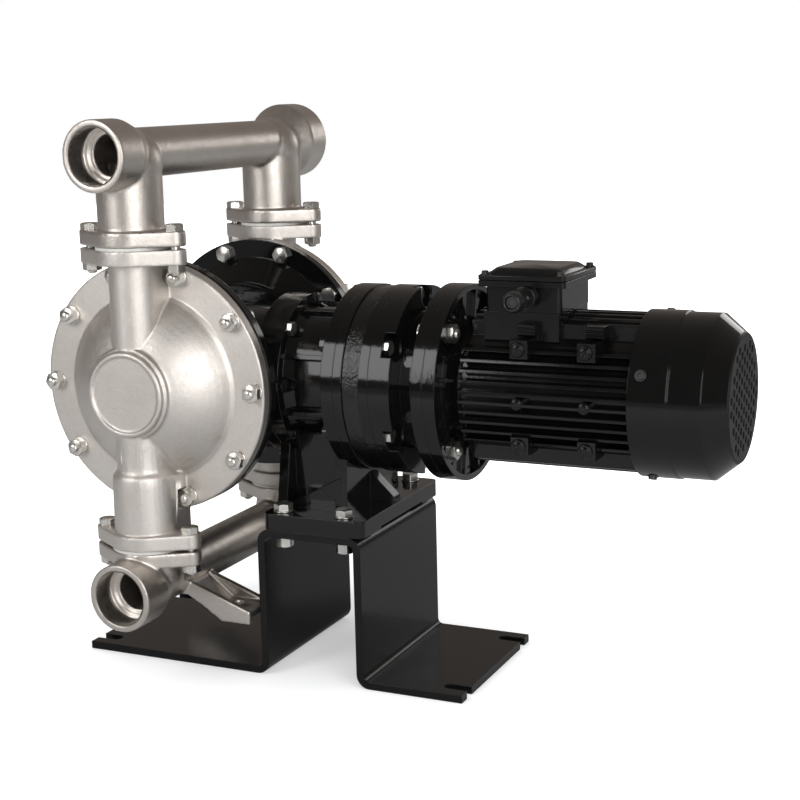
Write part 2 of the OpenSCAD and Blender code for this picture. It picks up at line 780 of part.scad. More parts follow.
module rod_bushes() {
    color([0.72, 0.55, 0.25]) each_side(bush_start)
        tube(bush_r - fit, rod_r + fit, bush_end - bush_start - 7);
}

module rod_seals() {
    color([0.12, 0.12, 0.12]) each_side(bush_end - 6.5) tube(bush_r - fit, rod_r + fit, 6);
}

module diaphragm_profile() {
    // Flat rim and middle joined by one shallow fold, radius against distance
    fold_in = plate_r + 3;
    fold_out = chamber_r - 27;
    rise = 7;
    steps = 12;
    fold = [for (i = [0 : steps]) [
        fold_in + (fold_out - fold_in) * i / steps,
        rise * (1 - cos(360 * i / steps)) / 2
    ]];
    t = diaphragm_t;
    polygon(concat(
        [[rod_end_r + fit, 0]], [for (p = fold) p], [[chamber_r - 1, 0], [chamber_r - 1, t]],
        [for (i = [steps : -1 : 0]) fold[i] + [0, t]], [[rod_end_r + fit, t]]
    ));
}

module diaphragm() {
    difference() {
        rotate_extrude() diaphragm_profile();
        translate([0, 0, -eps]) ring_of(chamber_bolts_n, chamber_bolt_circle)
            cylinder(r = chamber_bolt_r + 0.5, h = diaphragm_t + 2 * eps);
    }
}

module front_diaphragm() {
    color([0.10, 0.10, 0.10]) front_side(inner_face) diaphragm();
}

module rear_diaphragm() {
    color([0.10, 0.10, 0.10]) rear_side(inner_face) diaphragm();
}

// Chambers, drawn outward from the middle plane about the rod's axis
module inner_chamber() {
    difference() {
        rotate_extrude() polygon([
            [bush_r, hub_face], [hub_r, hub_face], [hub_r + 4, hub_face + 3],
            [chamber_r - 20, inner_back], [chamber_r, inner_back], [chamber_r, inner_face],
            [chamber_r - 25, inner_face], [chamber_r - 27, inner_face - 4],
            [hub_r - 1, bush_end], [bush_r, bush_end]
        ]);
        translate([0, 0, inner_back - eps]) ring_of(chamber_bolts_n, chamber_bolt_circle)
            cylinder(r = chamber_bolt_r + 0.5, h = inner_rim_t + 2 * eps);
        translate([0, 0, hub_face - eps]) ring_of(6, hub_r - 8, 30)
            cylinder(r = m8 + 0.4, h = floor_t + 2 * eps);
    }
}

module front_inner_chamber() {
    color([0.08, 0.08, 0.08]) front_side(0) inner_chamber();
}

module rear_inner_chamber() {
    color([0.08, 0.08, 0.08]) rear_side(0) inner_chamber();
}

module inner_chamber_screws() {
    color([0.30, 0.30, 0.30]) for (s = [0, 1]) mirror([0, s, 0]) rear_side(bush_end)
        ring_of(6, hub_r - 8, 30) socket_screw(m8 - fit, floor_t + 12);
}

function dome_arc(r0, z0, r1, z1, bulge, n) = [for (i = [0 : n])
    let (t = i / n, across = [z1 - z0, r0 - r1] / norm([z1 - z0, r0 - r1]))
    [r0 + (r1 - r0) * t, z0 + (z1 - z0) * t] + across * bulge * 4 * t * (1 - t)
];

module dome_solid() {
    // Rim, domed wall and round boss, solid inside
    rotate_extrude() polygon(concat(
        [[0, outer_face], [chamber_r, outer_face], [chamber_r, rim_face - 1.5],
         [chamber_r - 1.5, rim_face], [dome_r + 2, rim_face], [dome_r, rim_face + 2]],
        dome_arc(dome_r - 1.5, rim_face + 3, boss_r + 4, boss_y - 10, 4, 8),
        [[boss_r + 3, boss_y - 6], [boss_r, boss_y - 5], [boss_r, boss_y - 2], [boss_r - 1.5, boss_y],
         [boss_r - 4.5, boss_y], [boss_r - 5.5, boss_y - 2.5], [0, boss_y - 2.5]]
    ));
}

module dome_hollow() {
    rotate_extrude() polygon(concat(
        [[0, outer_face - eps], [chamber_r - 26, outer_face - eps], [chamber_r - 26, outer_face + 2]],
        dome_arc(dome_r - 5, rim_face - 4, boss_r - 4, boss_y - 22, 3, 8),
        [[0, boss_y - 20]]
    ));
}

module neck(r, z0, z1) {
    // A neck blended back to the dome by its own width
    translate([0, leg_y, z0]) cylinder(r = r, h = z1 - z0);
    translate([-r, rim_face - 6, z0]) cube([2 * r, leg_y - rim_face + 6, z1 - z0]);
}

module outer_chamber() {
    // World Z up, the rod's axis at the origin, outward along +Y
    difference() {
        union() {
            rotate([-90, 0, 0]) dome_solid();
            neck(upper_neck_r, 0, chamber_top_z - flange_t + 1);
            neck(lower_neck_r, lower_step_z - 6, 8 - boss_r);
            neck(lower_leg_r, chamber_bottom_z + flange_t - 1, lower_step_z);
            translate([0, leg_y, lower_step_z - eps]) cylinder(r1 = lower_leg_r - eps, r2 = lower_neck_r - eps, h = 7);
            translate([0, leg_y, 0]) oval_flange(chamber_top_z - flange_t);
            translate([0, leg_y, 0]) oval_flange(chamber_bottom_z);
        }
        rotate([-90, 0, 0]) dome_hollow();
        translate([0, leg_y, 0]) cylinder(r = ball_r, h = chamber_top_z + eps);
        translate([0, leg_y, chamber_bottom_z - eps]) cylinder(r = pocket_r, h = pocket_h + eps);
        translate([0, leg_y, chamber_bottom_z]) cylinder(r = ball_r - 1, h = -chamber_bottom_z);
        rotate([-90, 0, 0]) translate([0, 0, outer_face - eps])
            ring_of(chamber_bolts_n, chamber_bolt_circle)
                cylinder(r = chamber_bolt_r + 0.5, h = outer_rim_t + 2);
        // Spot faces of the two bolts beside the lower leg
        for (a = [72, 108]) rotate([-90, 0, 0]) rotate([0, 0, a])
            translate([chamber_bolt_circle, 0, rim_face - gap])
                cylinder(r = 2 * chamber_bolt_r + gap, h = 3.3 * chamber_bolt_r);
    }
}

module front_outer_chamber() {
    color([0.70, 0.67, 0.64]) mirror([0, 1, 0]) translate([0, 0, axis_h]) outer_chamber();
}

module rear_outer_chamber() {
    color([0.70, 0.67, 0.64]) translate([0, 0, axis_h]) outer_chamber();
}

module chamber_bolts() {
    grip = rim_face - inner_back;
    color([0.75, 0.73, 0.70]) each_side(inner_back) ring_of(chamber_bolts_n, chamber_bolt_circle) {
        hex_bolt(chamber_bolt_r, grip + 15);
        translate([0, 0, grip]) washer(chamber_bolt_r, 1.5);
        translate([0, 0, grip + 1.5]) hex_nut(chamber_bolt_r, 8);
    }
}

// Manifolds and valves
module socket_bore(y_end) {
    // Threaded mouth, relief groove and the step down to the pipe's bore
    rear_side(0) translate([0, 0, y_end - thread_depth]) cylinder(r = thread_r, h = thread_depth + eps);
    rear_side(0) translate([0, 0, y_end - thread_depth - 4]) cylinder(r = thread_r + 1.7, h = 4);
    rear_side(0) translate([0, 0, y_end - thread_depth - 7]) cylinder(r = thread_r - 3, h = 4);
}

module at_legs() {
    for (s = [-1, 1]) translate([0, s * leg_y, axis_h]) children();
}

module top_manifold() {
    stop = top_plate_z + pocket_h;
    cone_y = leg_y + 8;
    color([0.66, 0.62, 0.58]) difference() {
        union() {
            at_legs() oval_flange(top_plate_z);
            at_legs() translate([0, 0, top_plate_z + 1]) cylinder(r = leg_r, h = top_pipe_h - tee_dip - top_plate_z - 1);
            translate([0, -leg_y, axis_h + top_pipe_h - tee_dip]) sphere(r = leg_r + slack);
            translate([0, leg_y, axis_h + top_pipe_h - tee_dip + 4]) sphere(r = leg_r + slack);
            translate([0, 0, top_pipe_h]) {
                rear_side(-leg_y) cylinder(r = pipe_r, h = 2 * leg_y);
                front_side(leg_y + 22) cylinder(r = socket_r, h = socket_y - leg_y - 22);
                front_side(leg_y - 10) cylinder(r1 = pipe_r - slack, r2 = socket_r, h = 32);
                rear_side(cone_y) cylinder(r1 = leg_r - 4, r2 = collar_r, h = 18);
                rear_side(cone_y + 18) cylinder(r = collar_r, h = socket_y - cone_y - 18);
            }
        }
        translate([0, 0, top_pipe_h]) {
            rear_side(-socket_y) cylinder(r = pipe_r - pipe_wall, h = 2 * socket_y);
            socket_bore(socket_y);
            mirror([0, 1, 0]) socket_bore(socket_y);
        }
        at_legs() translate([0, 0, top_plate_z - eps]) cylinder(r = pocket_r, h = pocket_h + eps);
        at_legs() translate([0, 0, top_plate_z]) cylinder(r = ball_r - 1, h = top_pipe_h - top_plate_z);
    }
}

module foot_arm() {
    // One arm towards +X: a sloping web with a rib along its outer edge and a drilled pad
    pipe_low = -bottom_pipe_h - 6;
    low = -bottom_pipe_h - arm_drop;
    outer = foot_hole_y / 2 + arm_w / 2;
    pad_z = low + 6;
    difference() {
        union() {
            pedestal_web(outer - arm_w, outer, [
                [10, pipe_low], [20, pipe_low], [foot_hole_x / 2 - 16, pad_z + arm_t],
                [arm_x, pad_z + arm_t], [arm_x, pad_z], [foot_hole_x / 2 - 19, pad_z],
                [18, pipe_low - 9], [10, pipe_low - 9]
            ]);
            for (y = [outer - 7, outer - arm_w]) pedestal_web(y, y + 7, [
                [10, pipe_low], [22, pipe_low], [arm_x - 2, low + 15], [arm_x, low],
                [61, low], [45, low + 11], [21, pipe_low - 16], [10, pipe_low - 16]
            ]);
            translate([foot_hole_x / 2, foot_hole_y / 2, axis_h + pad_z]) cylinder(r = 12, h = arm_t + 2);
        }
        translate([foot_hole_x / 2, foot_hole_y / 2, axis_h + pad_z - eps])
            cylinder(r = foot_hole_r, h = arm_t + 3);
    }
}

module tee_ball() {
    // Round end of a leg, cut off inside the leg
    big = leg_r + slack;
    intersection() {
        sphere(r = big);
        translate([-big - 1, -big - 1, -big - 1]) cube([2 * big + 2, 2 * big + 2, big + 13]);
    }
}

module bottom_manifold() {
    color([0.66, 0.62, 0.58]) difference() {
        union() {
            at_legs() oval_flange(bottom_plate_z - flange_t);
            at_legs() translate([0, 0, tee_dip - bottom_pipe_h])
                cylinder(r = leg_r, h = bottom_pipe_h - tee_dip + bottom_plate_z - flange_t + 1);
            at_legs() translate([0, 0, tee_dip - bottom_pipe_h]) tee_ball();
            translate([0, 0, -bottom_pipe_h]) {
                rear_side(-leg_y) cylinder(r = pipe_r, h = 2 * leg_y);
                each_side(leg_y - 10) cylinder(r1 = pipe_r - slack, r2 = socket_r, h = 32);
                each_side(leg_y + 22) cylinder(r = socket_r, h = socket_y - leg_y - 22);
            }
            for (i = [0, 1], j = [0, 1]) mirror([i, 0, 0]) mirror([0, j, 0]) foot_arm();
        }
        translate([0, 0, -bottom_pipe_h]) {
            rear_side(-socket_y) cylinder(r = pipe_r - pipe_wall, h = 2 * socket_y);
            socket_bore(socket_y);
            mirror([0, 1, 0]) socket_bore(socket_y);
        }
        at_legs() translate([0, 0, -bottom_pipe_h])
            cylinder(r = ball_r - 1, h = bottom_pipe_h + bottom_plate_z + eps);
    }
}

module valve_seat() {
    // Flat ring held between two flanges, with a lip that the ball rests on
    difference() {
        union() {
            cylinder(r = flange_mid_r - 1, h = flange_gap);
            cylinder(r = pocket_r - 0.5, h = flange_gap + seat_lip);
        }
        translate([0, 0, -eps]) cylinder(r = seat_bore, h = flange_gap + seat_lip + 2 * eps);
        translate([0, 0, flange_gap + seat_lip - 2])
            cylinder(r1 = seat_bore, r2 = seat_edge, h = 2.001);
    }
}

module valve_seats() {
    color([0.95, 0.95, 0.93]) at_legs() {
        translate([0, 0, chamber_top_z]) valve_seat();
        translate([0, 0, bottom_plate_z]) valve_seat();
    }
}

module manifold_bolts() {
    grip = 2 * flange_t + flange_gap;
    color([0.75, 0.73, 0.70]) at_legs() for (s = [-1, 1], z = [top_plate_z, chamber_bottom_z])
        translate([s * flange_bolt_span / 2, 0, z + flange_t]) {
            mirror([0, 0, 1]) hex_bolt(m10, grip + 11);
            translate([0, 0, -grip - 8]) hex_nut(m10, 8);
        }
}

module ball(side, z) {
    color([0.93, 0.93, 0.91]) translate([0, side * leg_y, axis_h + z]) sphere(r = ball_r);
}

module front_inlet_ball() {
    ball(-1, bottom_ball_z);
}

module rear_inlet_ball() {
    ball(1, bottom_ball_z);
}

module front_outlet_ball() {
    ball(-1, top_ball_z);
}

module rear_outlet_ball() {
    ball(1, top_ball_z);
}

// Motor
module motor_flange() {
    // Drive end shield: the flange with ribbed pockets, the spigot and the bearing hub
    color([0.08, 0.08, 0.08]) on_shaft(motor_x) difference() {
        union() {
            cylinder(r = motor_flange_r, h = motor_flange_t);
            translate([0, 0, -4]) cylinder(r = 65, h = 5);
            cylinder(r = neck_r - 3, h = frame_x - motor_x);
            ring_of(16, 60) translate([0, -2, 4]) cube([motor_flange_r - 64, 4, motor_flange_t - 5]);
        }
        difference() {
            translate([0, 0, 6]) tube(motor_flange_r - 6, neck_r - 4, motor_flange_t);
            ring_of(16, 60, 11.25) translate([0, -2, 0]) cube([motor_flange_r - 63, 4, motor_flange_t - 2]);
            ring_of(4, flange_bolt_circle, 45) cylinder(r = 13, h = motor_flange_t - 1);
        }
        translate([0, 0, -5]) cylinder(r = shaft_r + 2, h = frame_x - motor_x + 6);
        translate([0, 0, de_bearing_x - motor_x]) cylinder(r = bearing_r, h = frame_x - de_bearing_x + eps);
        translate([0, 0, -eps]) ring_of(4, flange_bolt_circle, 45)
            cylinder(r = m10 + 0.5, h = motor_flange_t + 2 * eps);
    }
}

module flange_bolts() {
    grip = adapter_flange_t + motor_flange_t - 1;
    color([0.72, 0.72, 0.70]) on_shaft(adapter_flange_x) ring_of(4, flange_bolt_circle, 45) {
        hex_bolt(m10, grip + 11);
        translate([0, 0, grip]) hex_nut(m10, 8);
    }
}

module fin_bank(n, first) {
    // Parallel fins standing out sideways, along local X of the shaft frame
    for (i = [0 : n - 1]) translate([first + i * fin_pitch - fin_t / 2, -fin_r, 0])
        cube([fin_t, 2 * fin_r, frame_end - frame_x - 2]);
}

module motor_frame() {
    length = frame_end - frame_x;
    color([0.08, 0.08, 0.08]) difference() {
        union() {
            on_shaft(frame_x) cylinder(r = frame_r, h = length);
            on_shaft(frame_x + 2) intersection() {
                cylinder(r = fin_r, h = length - 4);
                union() {
                    fin_bank(10, -45);
                    rotate([0, 0, 90]) fin_bank(8, -35);
                }
            }
            // Flat seat of the terminal box and the two side pads
            translate([lid_x + 4, -box_w / 2, axis_h + frame_r - 14])
                cube([box_l, box_w, box_z - frame_r + 14]);
            for (s = [-1, 1], x = [63, 130], z = [-46, 48])
                translate([frame_x + x - 9, s > 0 ? 44 : -fin_r + 6, axis_h + z - 9])
                    cube([18, fin_r - 50, 18]);
        }
        on_shaft(frame_x - eps) cylinder(r = frame_r - 6, h = length + 2 * eps);
        // Wire duct up into the terminal box
        translate([lid_x + lid_l / 2, 0, axis_h + frame_r - 20]) cylinder(r = 12, h = box_z);
        on_shaft(frame_x + 2) for (a = [45, 135, 225, 315]) rotate([0, 0, a])
            translate([frame_r - 3, 0, -eps]) cylinder(r = 2.5, h = length);
    }
}

module stator_core() {
    color([0.45, 0.45, 0.47]) on_shaft(core_x) difference() {
        cylinder(r = frame_r - 6, h = core_l);
        translate([0, 0, -eps]) cylinder(r = rotor_r + 0.5, h = core_l + 2 * eps);
        translate([0, 0, -eps]) ring_of(24, rotor_r + 9) cylinder(r = 3.2, h = core_l + 2 * eps);
    }
}

module stator_windings() {
    color([0.60, 0.30, 0.12]) {
        on_shaft(core_x) ring_of(24, rotor_r + 9) cylinder(r = 3, h = core_l);
        for (x = [core_x - 20, core_x + core_l]) on_shaft(x) tube(rotor_r + 15, rotor_r + 3, 20);
    }
}

module rotor_core() {
    color([0.50, 0.50, 0.52]) on_shaft(core_x) difference() {
        cylinder(r = rotor_r, h = core_l);
        translate([0, 0, -eps]) cylinder(r = shaft_r + 2, h = core_l + 2 * eps);
    }
}

module motor_shaft() {
    start = disc_a_x - 0.5;
    color([0.70, 0.70, 0.72]) {
        on_shaft(start) cylinder(r = shaft_r, h = shaft_end - start);
        on_shaft(core_x) cylinder(r = shaft_r + 2, h = core_l);
    }
}

module motor_bearings() {
    color([0.75, 0.75, 0.76]) for (x = [de_bearing_x, nde_bearing_x])
        on_shaft(x) bearing(bearing_r, shaft_r, bearing_w);
}

module rear_end_shield() {
    color([0.08, 0.08, 0.08]) on_shaft(frame_end) difference() {
        union() {
            cylinder(r = frame_r, h = 8);
            translate([0, 0, nde_bearing_x - frame_end - 2]) cylinder(r = bearing_r + 6, h = bearing_w + 6);
            translate([0, 0, -4]) cylinder(r = frame_r - 6 - fit, h = 5);
            ring_of(4, frame_r - 4, cover_screw_a) cylinder(r = 9, h = 12);
        }
        translate([0, 0, nde_bearing_x - frame_end]) cylinder(r = bearing_r, h = bearing_w);
        translate([0, 0, nde_bearing_x - frame_end - 3]) cylinder(r = shaft_r + 2, h = 60);
    }
}

module cooling_fan() {
    color([0.15, 0.15, 0.15]) on_shaft(fan_x) difference() {
        union() {
            cylinder(r = shaft_r + 8, h = fan_w);
            cylinder(r = fan_r - 6, h = 3);
            ring_of(9, shaft_r + 6) translate([0, -1.5, 0]) cube([fan_r - shaft_r - 8, 3, fan_w - 2]);
        }
        translate([0, 0, -eps]) cylinder(r = shaft_r + fit, h = fan_w + 2);
    }
}

module cover_outline(inset) {
    polygon([
        [0, cover_x - (inset > 0 ? eps : 0)], [cover_r - inset, cover_x - (inset > 0 ? eps : 0)],
        [cover_r - inset, cover_step_x], [cover_r - 1.2 - inset, cover_step_x + 1.2],
        [cover_r - 1.2 - inset, cover_shoulder_x - inset / 2],
        [cover_end_r - inset / 2, cover_end_x - inset], [0, cover_end_x - inset]
    ]);
}

module fan_cover() {
    pitch = 3 * air_hole_r;
    color([0.08, 0.08, 0.08]) on_shaft(0) difference() {
        rotate_extrude() cover_outline(0);
        rotate_extrude() cover_outline(cover_wall);
        translate([0, 0, cover_end_x - cover_wall - eps])
            for (i = [-5 : 5], j = [-5 : 5])
                let (p = [i * pitch + (abs(j) % 2) * pitch / 2, j * pitch * 0.866])
                if (norm(p) < cover_end_r - air_hole_r - 4)
                    translate([p[0], p[1], 0]) cylinder(r = air_hole_r, h = cover_wall + 2 * eps);
        translate([0, 0, cover_x + 12]) ring_of(4, 0, cover_screw_a)
            rotate([0, 90, 0]) cylinder(r = 2.6, h = cover_r + 5);
    }
}

module fan_cover_screws() {
    color([0.12, 0.12, 0.12]) on_shaft(cover_x + 12) ring_of(4, 0, cover_screw_a) {
        translate([cover_r, 0, 0]) rotate([0, 90, 0]) cylinder(r = 4.5, h = 2.5);
        translate([frame_r + 5 + gap, 0, 0]) rotate([0, 90, 0])
            cylinder(r = 2.4, h = cover_r - frame_r - 5 - gap);
    }
}

module terminal_box() {
    color([0.08, 0.08, 0.08]) translate([lid_x + lid_l / 2, 0, axis_h + box_z]) difference() {
        union() {
            rounded_plate(box_l, box_w, lid_h - box_z, 5);
            translate([0, 0, lid_h - box_z - lid_rim_t]) rounded_plate(lid_l, lid_w, lid_rim_t, 4);
        }
        translate([0, 0, box_wall]) rounded_plate(box_l - 2 * box_wall, box_w - 2 * box_wall, lid_h, 3);
        translate([0, 0, -eps]) cylinder(r = 12, h = box_wall + 2 * eps);
        translate([gland_x - lid_x - lid_l / 2, 0, gland_z - box_z]) rotate([90, 0, 0])
            cylinder(r = gland_r + fit, h = box_w);
    }
}

module at_lid_screws() {
    for (i = [-1, 1], j = [-1, 1])
        translate([lid_x + lid_l / 2 + i * (lid_l / 2 - 6), j * (lid_w / 2 - 6), axis_h + lid_h])
            children();
}

module terminal_box_lid() {
    h = lid_rim_t;
    color([0.08, 0.08, 0.08]) difference() {
        translate([lid_x + lid_l / 2, 0, axis_h + lid_h]) {
            rounded_plate(lid_l, lid_w, h, 4);
            translate([0, 0, h]) rounded_plate(lid_l - 12, lid_w - 16, 1, 9);
            hull() {
                translate([0, 0, h + 1]) rounded_plate(lid_l - 13, lid_w - 17, 0.1, 9);
                translate([0, 0, h + 5.5]) rounded_plate(lid_l - 24, lid_w - 28, 0.5, 8);
            }
        }
        at_lid_screws() translate([0, 0, -eps]) cylinder(r = 2.5, h = h + 2 * eps);
    }
}

module lid_screws() {
    color([0.12, 0.12, 0.12]) at_lid_screws() {
        translate([0, 0, lid_rim_t]) cylinder(r = 4, h = 3);
        cylinder(r = 2.5 - fit, h = lid_rim_t);
    }
}

module terminal_block() {
    color([0.20, 0.18, 0.16]) translate([lid_x + lid_l / 2 + 18, -22, axis_h + box_z + box_wall]) {
        cube([14, 44, 8]);
        for (y = [8, 22, 36]) translate([7, y, 8]) cylinder(r = 2.5, h = 6);
    }
}

module on_gland(y) {
    translate([gland_x, y, axis_h + gland_z]) rotate([90, 0, 0]) children();
}

module cable_gland() {
    color([0.10, 0.10, 0.10]) difference() {
        union() {
            on_gland(-box_w / 2) cylinder(r = gland_r + 2.5, h = 9, $fn = 6);
            on_gland(-box_w / 2 + box_wall) cylinder(r = gland_r, h = box_wall + 38);
        }
        on_gland(-box_w / 2 + box_wall + 1) cylinder(r = gland_bore_r + 1, h = box_wall + 38);
    }
}

module gland_nut() {
    end = -box_w / 2 - 46;
    color([0.10, 0.10, 0.10]) difference() {
        union() {
            on_gland(-box_w / 2 - 11) cylinder(r = gland_r + 3.3, h = 15, $fn = 6);
            on_gland(-box_w / 2 - 25) cylinder(r1 = gland_r + 2.6, r2 = gland_r + 0.8, h = 21);
        }
        on_gland(-box_w / 2 - 10) cylinder(r = gland_r + fit, h = 31);
        on_gland(end + 6) cylinder(r = gland_bore_r, h = 7);
    }
}

base_bracket();
gearbox_housing();
foot_bolts();
crankcase();
crankcase_bolts();
mid_plate();
ring_gear_housing();
ring_pins();
input_plate();
motor_adapter();
reducer_bolts();
motor_flange();
flange_bolts();
motor_frame();
stator_core();
stator_windings();
rear_end_shield();
fan_cover();
fan_cover_screws();
terminal_box();
terminal_box_lid();
lid_screws();
terminal_block();
cable_gland();
gland_nut();
output_bearings();
motor_bearings();
rod_bushes();
rod_seals();
front_inner_chamber();
rear_inner_chamber();
inner_chamber_screws();
front_outer_chamber();
rear_outer_chamber();
front_diaphragm();
rear_diaphragm();
chamber_bolts();
top_manifold();
bottom_manifold();
valve_seats();
manifold_bolts();
rotor_core();
motor_shaft();
eccentric_sleeve();
cooling_fan();
cycloid_disc_a();
cycloid_disc_b();
output_shaft();
crank();
crank_roller();
rod_yoke();
push_rods();
inner_plates();
outer_plates();
front_inlet_ball();
rear_inlet_ball();
front_outlet_ball();
rear_outlet_ball();
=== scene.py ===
import itertools
import json
import math

import bmesh
import bpy
from mathutils import Matrix, Vector


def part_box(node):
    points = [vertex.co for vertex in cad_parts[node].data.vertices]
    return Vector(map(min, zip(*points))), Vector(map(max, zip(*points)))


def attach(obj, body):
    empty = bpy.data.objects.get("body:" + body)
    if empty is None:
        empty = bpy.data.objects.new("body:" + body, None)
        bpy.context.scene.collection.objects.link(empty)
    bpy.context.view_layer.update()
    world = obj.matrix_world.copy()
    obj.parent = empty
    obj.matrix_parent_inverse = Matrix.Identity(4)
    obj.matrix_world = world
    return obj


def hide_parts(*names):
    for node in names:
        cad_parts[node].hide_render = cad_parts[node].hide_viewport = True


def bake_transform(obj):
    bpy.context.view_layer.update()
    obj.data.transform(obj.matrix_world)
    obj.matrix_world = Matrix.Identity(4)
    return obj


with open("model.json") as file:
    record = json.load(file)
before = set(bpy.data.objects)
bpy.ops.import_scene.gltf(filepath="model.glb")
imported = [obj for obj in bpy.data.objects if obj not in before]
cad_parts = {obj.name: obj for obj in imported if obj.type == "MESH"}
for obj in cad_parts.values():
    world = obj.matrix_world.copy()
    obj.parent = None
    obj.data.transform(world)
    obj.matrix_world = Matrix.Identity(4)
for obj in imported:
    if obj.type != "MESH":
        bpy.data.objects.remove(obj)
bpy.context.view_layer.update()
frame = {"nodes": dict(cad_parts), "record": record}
nodes = frame["nodes"]
slot_of = {p["node"]: p["material_slot"] for p in frame["record"]["subparts"]}

# Sizes shared by several pieces, in metres

AXIS_Z = 0.306  # height of the axis of the motor, the reducer and the chambers
M10, M10_HEAD, M10_NUT = 0.005, 0.007, 0.008  # thread radius, head and nut heights
M8, M8_HEAD, M8_NUT = 0.004, 0.0056, 0.007
SHARP_ANGLE = math.radians(32)
FULL_TURN = 2 * math.pi

# Camera, at the photograph's viewing angle

CAMERA_PLACE = (0.8999, -1.4525, 0.5992)
CAMERA_YAW, CAMERA_PITCH, CAMERA_ROLL = (math.radians(v) for v in (24.995, -11.183, -1.397))
FOCAL_PIXELS = 1573.6
IMAGE_PIXELS = 800
SENSOR_MM = 36


def make_camera():
    level = Vector((-math.sin(CAMERA_YAW), math.cos(CAMERA_YAW), 0))
    forward = level * math.cos(CAMERA_PITCH) + Vector((0, 0, 1)) * math.sin(CAMERA_PITCH)
    right0 = Vector((math.cos(CAMERA_YAW), math.sin(CAMERA_YAW), 0))
    up0 = right0.cross(forward)
    right = right0 * math.cos(CAMERA_ROLL) + up0 * math.sin(CAMERA_ROLL)
    up = up0 * math.cos(CAMERA_ROLL) - right0 * math.sin(CAMERA_ROLL)
    data = bpy.data.cameras.new("camera")
    data.sensor_width = SENSOR_MM
    data.lens = FOCAL_PIXELS / IMAGE_PIXELS * SENSOR_MM
    data.clip_end = 30
    cam = bpy.data.objects.new("camera", data)
    bpy.context.scene.collection.objects.link(cam)
    turn = Matrix((right, up, -forward)).transposed().to_4x4()
    cam.matrix_world = Matrix.Translation(CAMERA_PLACE) @ turn
    bpy.context.scene.camera = cam


make_camera()

# Node helpers for materials


def add_node(tree, kind, values=None, **props):
    # A node with its properties, and its input sockets' values by name
    node = tree.nodes.new(kind)
    for key, value in props.items():
        setattr(node, key, value)
    for key, value in (values or {}).items():
        node.inputs[key].default_value = value
    return node


class Mat:
    # A material being made: its textures feed one Principled shader
    def __init__(self, name, **values):
        self.mat = bpy.data.materials.new(name)
        self.mat.use_nodes = True
        self.tree = self.mat.node_tree
        self.bsdf = self.tree.nodes["Principled BSDF"]
        self.coord = self.add("ShaderNodeTexCoord").outputs["Object"]
        self.normal = None
        for key, value in values.items():
            self.bsdf.inputs[key.replace("_", " ")].default_value = value

    def add(self, kind, values=None, **props):
        return add_node(self.tree, kind, values, **props)

    def link(self, output, socket):
        self.tree.links.new(output, socket)

    def feed(self, node, **outputs):
        for key, output in outputs.items():
            self.link(output, node.inputs[key.replace("_", " ")])
        return node

    def stretched(self, scale):
        node = self.add("ShaderNodeMapping", {"Scale": scale})
        return self.feed(node, Vector=self.coord).outputs["Vector"]

    def noise(self, scale, detail, rough, vector=None):
        values = {"Scale": scale, "Detail": detail, "Roughness": rough}
        node = self.add("ShaderNodeTexNoise", values)
        return self.feed(node, Vector=vector or self.coord).outputs["Fac"]

    def cells(self, scale):
        node = self.add("ShaderNodeTexVoronoi", {"Scale": scale})
        return self.feed(node, Vector=self.coord).outputs["Distance"]

    def ramp(self, fac, stops):
        node = self.add("ShaderNodeValToRGB")
        for stop, (place, color) in zip(node.color_ramp.elements, stops):
            stop.position = place
            stop.color = (*color, 1)
        return self.feed(node, Fac=fac).outputs["Color"]

    def span(self, fac, low, high, start=0.3, stop=0.7):
        # From low where fac is start to high where it is stop
        values = {"From Min": start, "From Max": stop, "To Min": low, "To Max": high}
        node = self.add("ShaderNodeMapRange", values)
        return self.feed(node, Value=fac).outputs["Result"]

    def calc(self, operation, *terms):
        node = self.add("ShaderNodeMath", operation=operation)
        for sock, term in zip(node.inputs, terms):
            if isinstance(term, float):
                sock.default_value = term
            else:
                self.link(term, sock)
        return node.outputs[0]

    def mix(self, fac, color_a, color_b):
        node = self.add("ShaderNodeMix", data_type="RGBA")
        self.link(fac, node.inputs["Factor"])
        color_inputs, color_output = (6, 7), 2
        for index, color in zip(color_inputs, (color_a, color_b)):
            node.inputs[index].default_value = (*color, 1)
        return node.outputs[color_output]

    def edges(self, radius):
        # Rounded edges in the shading, for parts whose solids have sharp ones
        self.normal = self.add("ShaderNodeBevel", {"Radius": radius}, samples=4).outputs["Normal"]

    def bump(self, height, strength, distance):
        node = self.add("ShaderNodeBump", {"Strength": strength, "Distance": distance})
        self.feed(node, Height=height)
        if self.normal is not None:
            self.feed(node, Normal=self.normal)
        self.normal = node.outputs["Normal"]

    def done(self, color, rough):
        self.feed(self.bsdf, Base_Color=color, Roughness=rough, Normal=self.normal)
        return self.mat


def cast_metal(name, dark, light, rough, edge=0.0):
    # Bead blasted casting: fine grain, small specks and faint wide blotches
    m = Mat(name, Metallic=1.0)
    blotch = m.noise(9, 5, 0.6)
    grain = m.noise(900, 2, 0.5)
    dents = m.noise(160, 3, 0.6)
    speck = m.noise(420, 3, 0.7)
    tone = m.calc("ADD", m.calc("MULTIPLY", blotch, 0.6), m.calc("MULTIPLY", speck, 0.4))
    if edge:
        m.edges(edge)
    m.bump(grain, 0.35, 0.0004)
    m.bump(speck, 0.22, 0.0006)
    m.bump(dents, 0.16, 0.0008)
    m.bump(blotch, 0.05, 0.004)
    return m.done(m.mix(m.span(tone, 0, 1), dark, light), m.span(dents, *rough))


def black_tone(m, blotch, level):
    # Black that warms a little where the blotches are lighter
    lighter = (level * 1.6, level * 1.55, level * 1.5)
    return m.ramp(blotch, [(0.3, (level,) * 3), (0.7, lighter)])


